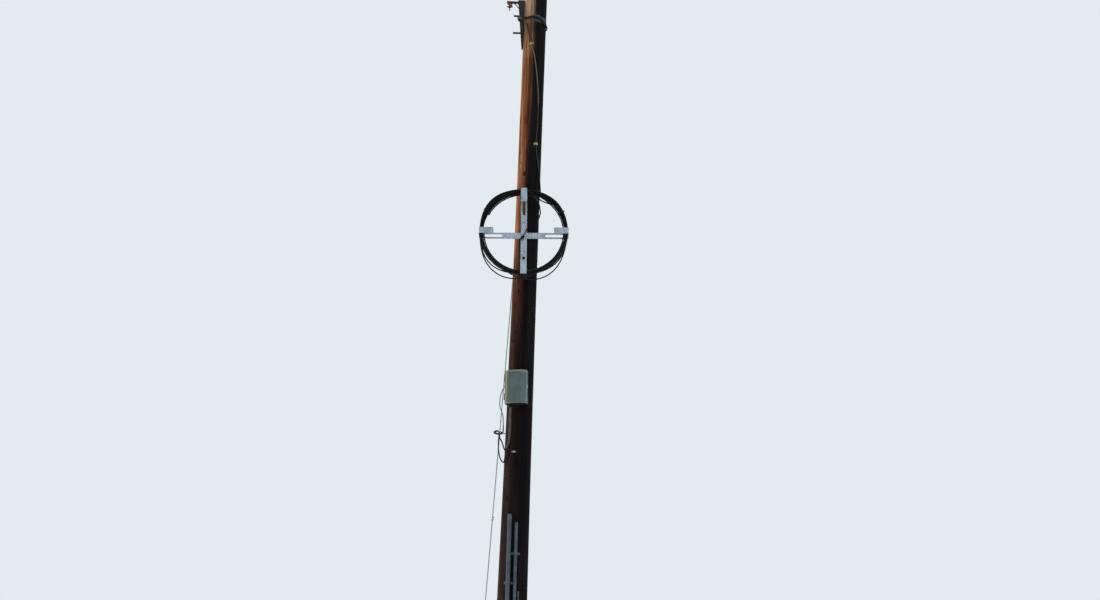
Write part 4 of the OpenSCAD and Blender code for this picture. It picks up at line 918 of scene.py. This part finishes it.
floorValues = {"half": 30.0, "colour": "D9DDE0", "roughness": 0.9}
floorMesh = bpy.data.meshes.new("floor")
floorMesh.from_pydata([(x * floorValues["half"], y * floorValues["half"], 0)
                       for x, y in ((-1, -1), (1, -1), (1, 1), (-1, 1))], [], [(0, 1, 2, 3)])
floor = linkedObject("floor", floorMesh)
floorMesh.materials.append(newMaterial("paleFloor", {
    "Base Color": linearColour(floorValues["colour"]), "Roughness": floorValues["roughness"]})[0])

lightValues = {
    "key": {"energy": 3.0, "angle": 12.0, "azimuth": -112.0, "elevation": 40.0, "colour": "FFF1DC"},
    "fill": {"energy": 0.5, "angle": 40.0, "azimuth": 40.0, "elevation": 30.0, "colour": "E4EEFF"},
    "worldColour": "DCE6F2", "worldStrength": 0.45, "backdrop": "E3EAF0", "lampsOff": 12,
}


def addSun(name, values):  # azimuth from the front towards +X
    lamp = bpy.data.lights.new(name, "SUN")
    lamp.energy = values["energy"]
    lamp.angle = math.radians(values["angle"])
    lamp.color = linearColour(values["colour"])[:3]
    sun = linkedObject(name, lamp)
    a, e = math.radians(values["azimuth"]), math.radians(values["elevation"])
    towards = Vector((math.sin(a) * math.cos(e), -math.cos(a) * math.cos(e), math.sin(e)))
    sun.rotation_mode = "QUATERNION"
    sun.rotation_quaternion = towards.to_track_quat("Z", "Y")
    sun.location = towards * lightValues["lampsOff"]


addSun("keyLight", lightValues["key"])
addSun("fillLight", lightValues["fill"])

world = bpy.data.worlds.new("studio")
bpy.context.scene.world = world
world.use_nodes = True
skyTree = world.node_tree
skyTree.nodes.clear()
rays = addNode(skyTree, "ShaderNodeLightPath")
seen = addNode(skyTree, "ShaderNodeMath", {"operation": "MAXIMUM"}, {
    0: rays.outputs["Is Camera Ray"], 1: rays.outputs["Is Glossy Ray"]})
shown = addNode(skyTree, "ShaderNodeMath", {"operation": "MAXIMUM"}, {
    0: seen.outputs[0], 1: rays.outputs["Is Transmission Ray"]})
ambient = addNode(skyTree, "ShaderNodeBackground", inputs={
    "Color": linearColour(lightValues["worldColour"]), "Strength": lightValues["worldStrength"]})
backdrop = addNode(skyTree, "ShaderNodeBackground", inputs={
    "Color": linearColour(lightValues["backdrop"]), "Strength": 1.0})
blend = addNode(skyTree, "ShaderNodeMixShader", inputs={
    0: shown.outputs[0], 1: ambient.outputs[0], 2: backdrop.outputs[0]})
addNode(skyTree, "ShaderNodeOutputWorld", inputs={"Surface": blend.outputs[0]})

cameraValues = {"lens": 58.65, "sensor": 36.0, "distance": 14.06, "height": 1.10, "right": 0.2106,
                "pitch": 14.695, "roll": 2.06}
cameraData = bpy.data.cameras.new("photoCamera")
cameraData.sensor_width = cameraValues["sensor"]
cameraData.sensor_fit = "HORIZONTAL"
cameraData.lens = cameraValues["lens"]
cameraData.clip_end = 200.0
camera = linkedObject("photoCamera", cameraData)
camera.location = (cameraValues["right"], -cameraValues["distance"], cameraValues["height"])
camera.rotation_mode = "QUATERNION"
camera.rotation_quaternion = (Euler((math.radians(90 + cameraValues["pitch"]), 0, 0)).to_quaternion()
                              @ Quaternion((0, 0, 1), math.radians(cameraValues["roll"])))
bpy.context.scene.camera = camera
bpy.context.scene.view_settings.view_transform = "Standard"
print("floor, light and camera placed")
